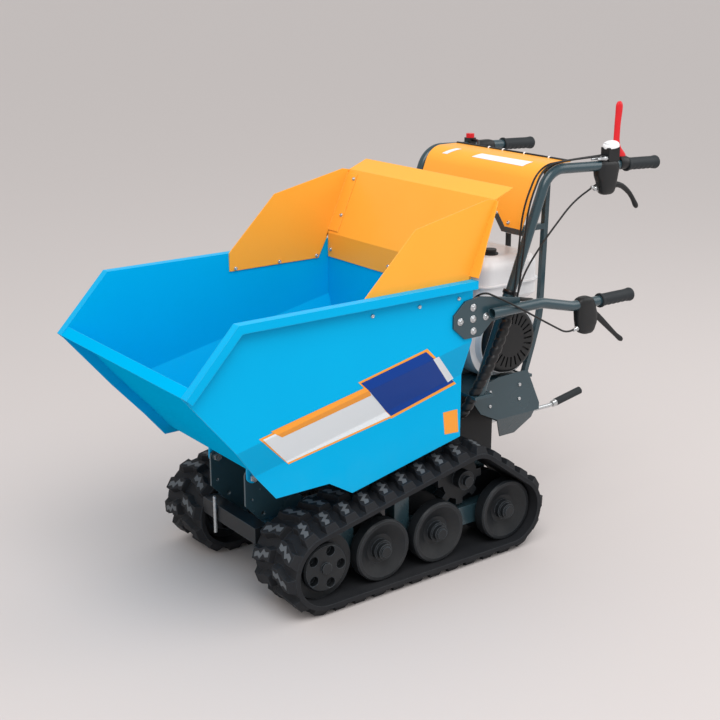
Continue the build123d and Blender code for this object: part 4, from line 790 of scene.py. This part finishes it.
def mouldedBar(x, spec):
    # section: |a / deep| ** power + |b / wide| ** power = 1, square to the line in its plane; the rows are
    # evenly spaced and then blurred
    knots = np.asarray(spec["line"], dtype=float)
    lengths = lengthsAlong(knots[:, :2])
    even = readLine(np.linspace(0, lengths[-1], mouldShape["rowsPerKnot"] * len(knots)), lengths, knots)
    blur = np.asarray(mouldShape["blur"]) / sum(mouldShape["blur"])
    padded = np.pad(even, ((len(blur) // 2, len(blur) // 2), (0, 0)), mode="edge")
    y, z, deep, wide = (np.convolve(column, blur, mode="valid") for column in padded.T)
    alongY, alongZ = unit(np.stack([np.gradient(y), np.gradient(z)], axis=1)).T
    angle = ringAngles(mouldShape["sides"])
    circle = np.stack([np.cos(angle), np.sin(angle)])
    first, second = np.sign(circle) * np.abs(circle) ** (2 / spec["power"])
    across = x + wide[:, None] * first
    back = y[:, None] - (deep * alongZ)[:, None] * second
    up = z[:, None] + (deep * alongY)[:, None] * second
    rings = np.stack([across, back, up], axis=-1)
    rings = closeEnds(rings, rings[[0, -1]].mean(axis=1))
    return toMetres(rings.reshape(-1, 3)), gridFaces(len(rings), mouldShape["sides"], True)[:, ::-1]


for name, spec in moulded.items():
    skin = joinMeshes([mouldedBar(x, spec) for x in spec["at"]])
    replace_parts(addPiece(name, spec["body"], spec["finish"], *skin), spec["of"])
print("controls moulded")


# small turned fittings: (radius, height) in mm along each one's axis
leverAdjuster = [(0, -6), (5.2, -6), (5.2, 4), (6.6, 4.2), (6.6, 8.5), (5.0, 9), (4.2, 20), (3.2, 22),
                 (0, 22)]


def cableAdjuster(sleeve, tail):
    # barrel, nut and thread, then a sleeve and the cable's end at their heights
    return [(0, -8), (5.0, -8), (5.0, 12), (6.4, 12.5), (6.4, 21), (4.8, 22), (4.6, sleeve),
            (3.2, sleeve + 2), (2.8, tail), (0, tail + 1)]


turnedFittings = {
    "perch_adjuster": {
        "body": "chassis", "finish": "zinc_steel", "place": (245, 809, 936), "axis": (0, -0.93, 0.36),
        "sides": 24, "profile": leverAdjuster},
    "tip_adjuster": {
        "body": "skip", "finish": "zinc_steel", "place": (327, 681, 594), "axis": (0.1, -0.98, -0.15),
        "sides": 24, "profile": leverAdjuster},
    "throttle_adjuster": {
        "body": "chassis", "finish": "zinc_steel", "place": (240, 846, 1016), "axis": (0, -1, 0),
        "sides": 24, "profile": cableAdjuster(sleeve=36, tail=56)},
    "stop_adjuster": {
        "body": "chassis", "finish": "zinc_steel", "place": (253, 846, 1016), "axis": (0, -1, 0),
        "sides": 24, "profile": cableAdjuster(sleeve=30, tail=46)},
    "throttle_clamp": {
        "body": "chassis", "finish": "black_plastic", "place": (245, 888, 998.5), "axis": (0, 1, -barFall),
        "sides": 24, "profile": [(13.4, -1), (17.4, 0), (18.0, 1.5), (18.0, 24.5), (17.4, 26), (13.4, 27)]},
    "post_tie": {
        "body": "chassis", "finish": "cable_black", "place": (245, 508.5, 699), "axis": postUp,
        "sides": 24, "profile": [(16.2, -6), (18.6, -5), (19.0, 0), (18.6, 5), (16.2, 6)]},
    "shroud_lip": {
        "body": "chassis", "finish": "tank_white", "place": (165, 560, 550), "axis": (1, 0, 0),
        "sides": 96, "profile": [(96.0, -2), (95.6, 10), (94.2, 17), (92.4, 20), (91.2, 20.2), (90.8, 18),
                                 (90.8, 4)]},
    "gear_ferrule": {
        "body": "chassis", "finish": "zinc_steel", "place": (68, 870, 277.3), "axis": (0, 0.984, 0.177),
        "sides": 24, "profile": [(0, -16), (7.6, -16), (9.6, -14), (9.8, -3), (10.6, -2.4), (10.6, 2),
                                 (0, 2)]},
}
for name, spec in turnedFittings.items():
    fitting = lathePieces([spec["place"]], [spec["axis"]], spec["profile"], spec["sides"])
    addPiece(name, spec["body"], spec["finish"], *fitting)


# threaded rod at the front: crests at the rod's own radius, roots between them
rodThread = {"pitch": 4.0, "depth": 1.0, "chamfer": 1.4, "sides": 20}


def threadedRod(node, spec):
    # r(k) = radius at each even half pitch k and radius - depth at each odd one, between chamfered ends
    low, high = (toMachine(corner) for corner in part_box(node))
    radius, length = (high[0] - low[0]) / 2, high[2] - low[2]
    height = np.arange(spec["chamfer"], length - spec["chamfer"], spec["pitch"] / 2)
    wall = radius - spec["depth"] * (np.arange(len(height)) % 2)
    tip = radius - spec["chamfer"]
    profile = [(0, 0), (tip, 0), *zip(wall, height), (tip, length), (0, length)]
    foot = ((low[0] + high[0]) / 2, (low[1] + high[1]) / 2, low[2])
    return lathePieces([foot], [(0, 0, 1)], profile, spec["sides"])


thread = threadedRod("tension_rods", rodThread)
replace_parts(addPiece("rod_thread", "chassis", "zinc_steel", *thread, smooth=False), "tension_rods")
print("fittings placed")


# throttle lid: a low white dome over the throttle housing
lidCap = {"centre": (245, 856), "drop": 6.0, "lean": (0, -0.18, 0.98), "sides": 40,
          "profile": [(0, 13.0), (7, 12.6), (13, 11.0), (18, 8.2), (21.4, 4.4), (22.6, 0.0), (22.2, -4.0)]}
lidTop = toMachine(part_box("throttle_body")[1])[2]
lidFoot = (*lidCap["centre"], lidTop - lidCap["drop"])
lid = lathePieces([lidFoot], [lidCap["lean"]], lidCap["profile"], lidCap["sides"])
addPiece("throttle_lid", "chassis", "tank_white", *lid)
print("lid placed")


# console cover: the sheet's outer face as a line of (y, z), up the lean, round the bend and back
coverLine = {"footY": 412, "footZ": 450, "offset": 9.5, "topZ": 1014.75, "bend": 61.0}

# blank plates on the cover: (x, length) at rear left, rear right, front right, front left
coverPlates = {"rows": 20, "columns": 12, "lift": 0.5, "corners": {
    "cover_plate": [(-32, -18), (168, -16), (151, -41), (-53, -39)],
    "cover_plate_small": [(-143, -12), (-122, -12), (-152, -45), (-174, -45)]}}


def coverPoint(length):
    # length 0 at the end of the bend: level rearwards for more, round the arc and down the lean for less
    bend, topZ = coverLine["bend"], coverLine["topZ"]
    steep = math.atan2(1.0, postLean)
    faceY = coverLine["footY"] - coverLine["offset"] * math.hypot(1, postLean)
    arcEnd = faceY + (topZ - coverLine["footZ"]) * postLean + bend * math.tan(steep / 2)
    angle = np.clip(-length / bend, 0, steep)
    past = np.clip(-length - bend * steep, 0, None)
    y = arcEnd + np.clip(length, 0, None) - bend * np.sin(angle) - past * math.cos(steep)
    z = topZ - bend * (1 - np.cos(angle)) - past * math.sin(steep)
    return y, z, angle


def coverPatch(corners):
    # (x, length) = bilinear blend of the corners, laid on the cover's line and lifted square to it
    rows, columns, lift = (coverPlates[key] for key in ("rows", "columns", "lift"))
    x, length = blendCorners(corners, rows, columns)
    y, z, angle = coverPoint(length)
    places = np.stack([x, y - lift * np.sin(angle), z + lift * np.cos(angle)], axis=-1)
    return toMetres(places.reshape(-1, 3)), gridFaces(rows, columns, False)[:, ::-1]


for name, corners in coverPlates["corners"].items():
    addPiece(name, "chassis", "decal_white", *coverPatch(corners), slot="orange_paint")


# edge strip along the cover's rear edge, with pale ties over it
edgeStrip = {"radius": 3.4, "y": 724.5, "z": 1015.5, "halfWidth": 226, "rounding": 0.5, "sides": 14}
stripTies = {"across": (-88, -30, 55, 150), "radius": 4.6, "half": 2.6, "rounding": 0.4, "sides": 14}


def stripBar(spec):
    # a bar along x, its ends closed and slightly rounded
    length, inset = 2 * spec["halfWidth"], spec["rounding"]
    profile = [(0, 0), (spec["radius"], inset), (spec["radius"], length - inset), (0, length)]
    return lathePieces([(-spec["halfWidth"], spec["y"], spec["z"])], [(1, 0, 0)], profile, spec["sides"])


def tieRings(spec, strip):
    # rings round the strip, from its wall out to the tie's radius and back
    half, inset = spec["half"], spec["rounding"]
    profile = [(strip["radius"], -half), (spec["radius"], inset - half), (spec["radius"], half - inset),
               (strip["radius"], half)]
    places = [(x, strip["y"], strip["z"]) for x in spec["across"]]
    return lathePieces(places, [(1, 0, 0)] * len(places), profile, spec["sides"])


addPiece("cover_edge_strip", "chassis", "cable_black", *stripBar(edgeStrip))
addPiece("cover_edge_ties", "chassis", "tank_white", *tieRings(stripTies, edgeStrip))
print("cover dressed")


# starter pull handle above the recoil cover: a rounded bar with a waist
pullHandle = {"centre": (186, 622, 650), "axis": (0, 0.975, -0.22), "half": 30, "width": 8.5, "height": 6.5,
              "waist": 0.14, "endPower": 6, "rows": 40, "sides": 24}


def pullBar(spec):
    # half-sizes = (width, height) * sqrt(1 - |t| ** endPower) * (1 - waist * (1 - |t|)), an ellipse at each t
    place = np.linspace(-1, 1, spec["rows"])
    rounding = np.sqrt(np.clip(1 - np.abs(place) ** spec["endPower"], 0, 1))
    size = rounding * (1 - spec["waist"] * (1 - np.abs(place)))
    angle = ringAngles(spec["sides"])
    axis, side = unit(spec["axis"]), np.array([1.0, 0, 0])
    up = np.cross(axis, side)
    ring = spec["width"] * np.cos(angle)[:, None] * side + spec["height"] * np.sin(angle)[:, None] * up
    middle = np.asarray(spec["centre"]) + place[:, None, None] * spec["half"] * axis
    verts = middle + size[:, None, None] * ring
    return toMetres(verts.reshape(-1, 3)), gridFaces(spec["rows"], spec["sides"], True)


addPiece("pull_handle", "chassis", "black_plastic", *pullBar(pullHandle))
print("pull handle placed")


# floor and light, in metres and watts
studio = {"floor": (199, 192, 190), "floorRough": 0.8, "floorHalf": 90, "ambient": 0.95,
          "background": (203, 201, 200), "aim": (0, 0, 0.5)}
lamps = {
    "key": {"place": (2.2, -1.2, 4.2), "size": 3.2, "power": 105},
    "fill": {"place": (1.5, 3.2, 2.6), "size": 2.6, "power": 28},
}


def addFloor():
    # one square at ground level that reaches past the view
    half = studio["floorHalf"]
    corners = [(-half, -half, 0), (half, -half, 0), (half, half, 0), (-half, half, 0)]
    mesh = bpy.data.meshes.new("floor")
    mesh.from_pydata(corners, [], [(0, 1, 2, 3)])
    material = bpy.data.materials.new("floor")
    material.use_nodes = True
    shader = material.node_tree.nodes["Principled BSDF"]
    shader.inputs["Base Color"].default_value = linear(*studio["floor"])
    shader.inputs["Roughness"].default_value = studio["floorRough"]
    mesh.materials.append(material)
    floor = bpy.data.objects.new("floor", mesh)
    bpy.context.scene.collection.objects.link(floor)


def addWorld():
    # an even white light, shown to the camera and in reflections as a plain grey
    world = bpy.data.worlds.new("studio")
    world.use_nodes = True
    tree = world.node_tree
    plain = tree.nodes["Background"]
    plain.inputs["Color"].default_value = (1, 1, 1, 1)
    plain.inputs["Strength"].default_value = studio["ambient"]
    seen = tree.nodes.new("ShaderNodeBackground")
    seen.inputs["Color"].default_value = linear(*studio["background"])
    ray = tree.nodes.new("ShaderNodeLightPath")
    shown = mathNode(tree, "MAXIMUM", ray.outputs["Is Camera Ray"], ray.outputs["Is Glossy Ray"])
    mix = tree.nodes.new("ShaderNodeMixShader")
    tree.links.new(shown, mix.inputs["Fac"])
    tree.links.new(plain.outputs["Background"], mix.inputs[1])
    tree.links.new(seen.outputs["Background"], mix.inputs[2])
    tree.links.new(mix.outputs["Shader"], tree.nodes["World Output"].inputs["Surface"])
    bpy.context.scene.world = world


def addLamp(name, spec):
    # a round area lamp turned to look at the aim
    lamp = bpy.data.lights.new(name, "AREA")
    lamp.shape = "DISK"
    lamp.size = spec["size"]
    lamp.energy = spec["power"]
    turn = (Vector(studio["aim"]) - Vector(spec["place"])).to_track_quat("-Z", "Y")
    holder = bpy.data.objects.new(name, lamp)
    holder.matrix_world = Matrix.Translation(spec["place"]) @ turn.to_matrix().to_4x4()
    bpy.context.scene.collection.objects.link(holder)


addFloor()
addWorld()
for name, spec in lamps.items():
    addLamp(name, spec)
print("studio lit")
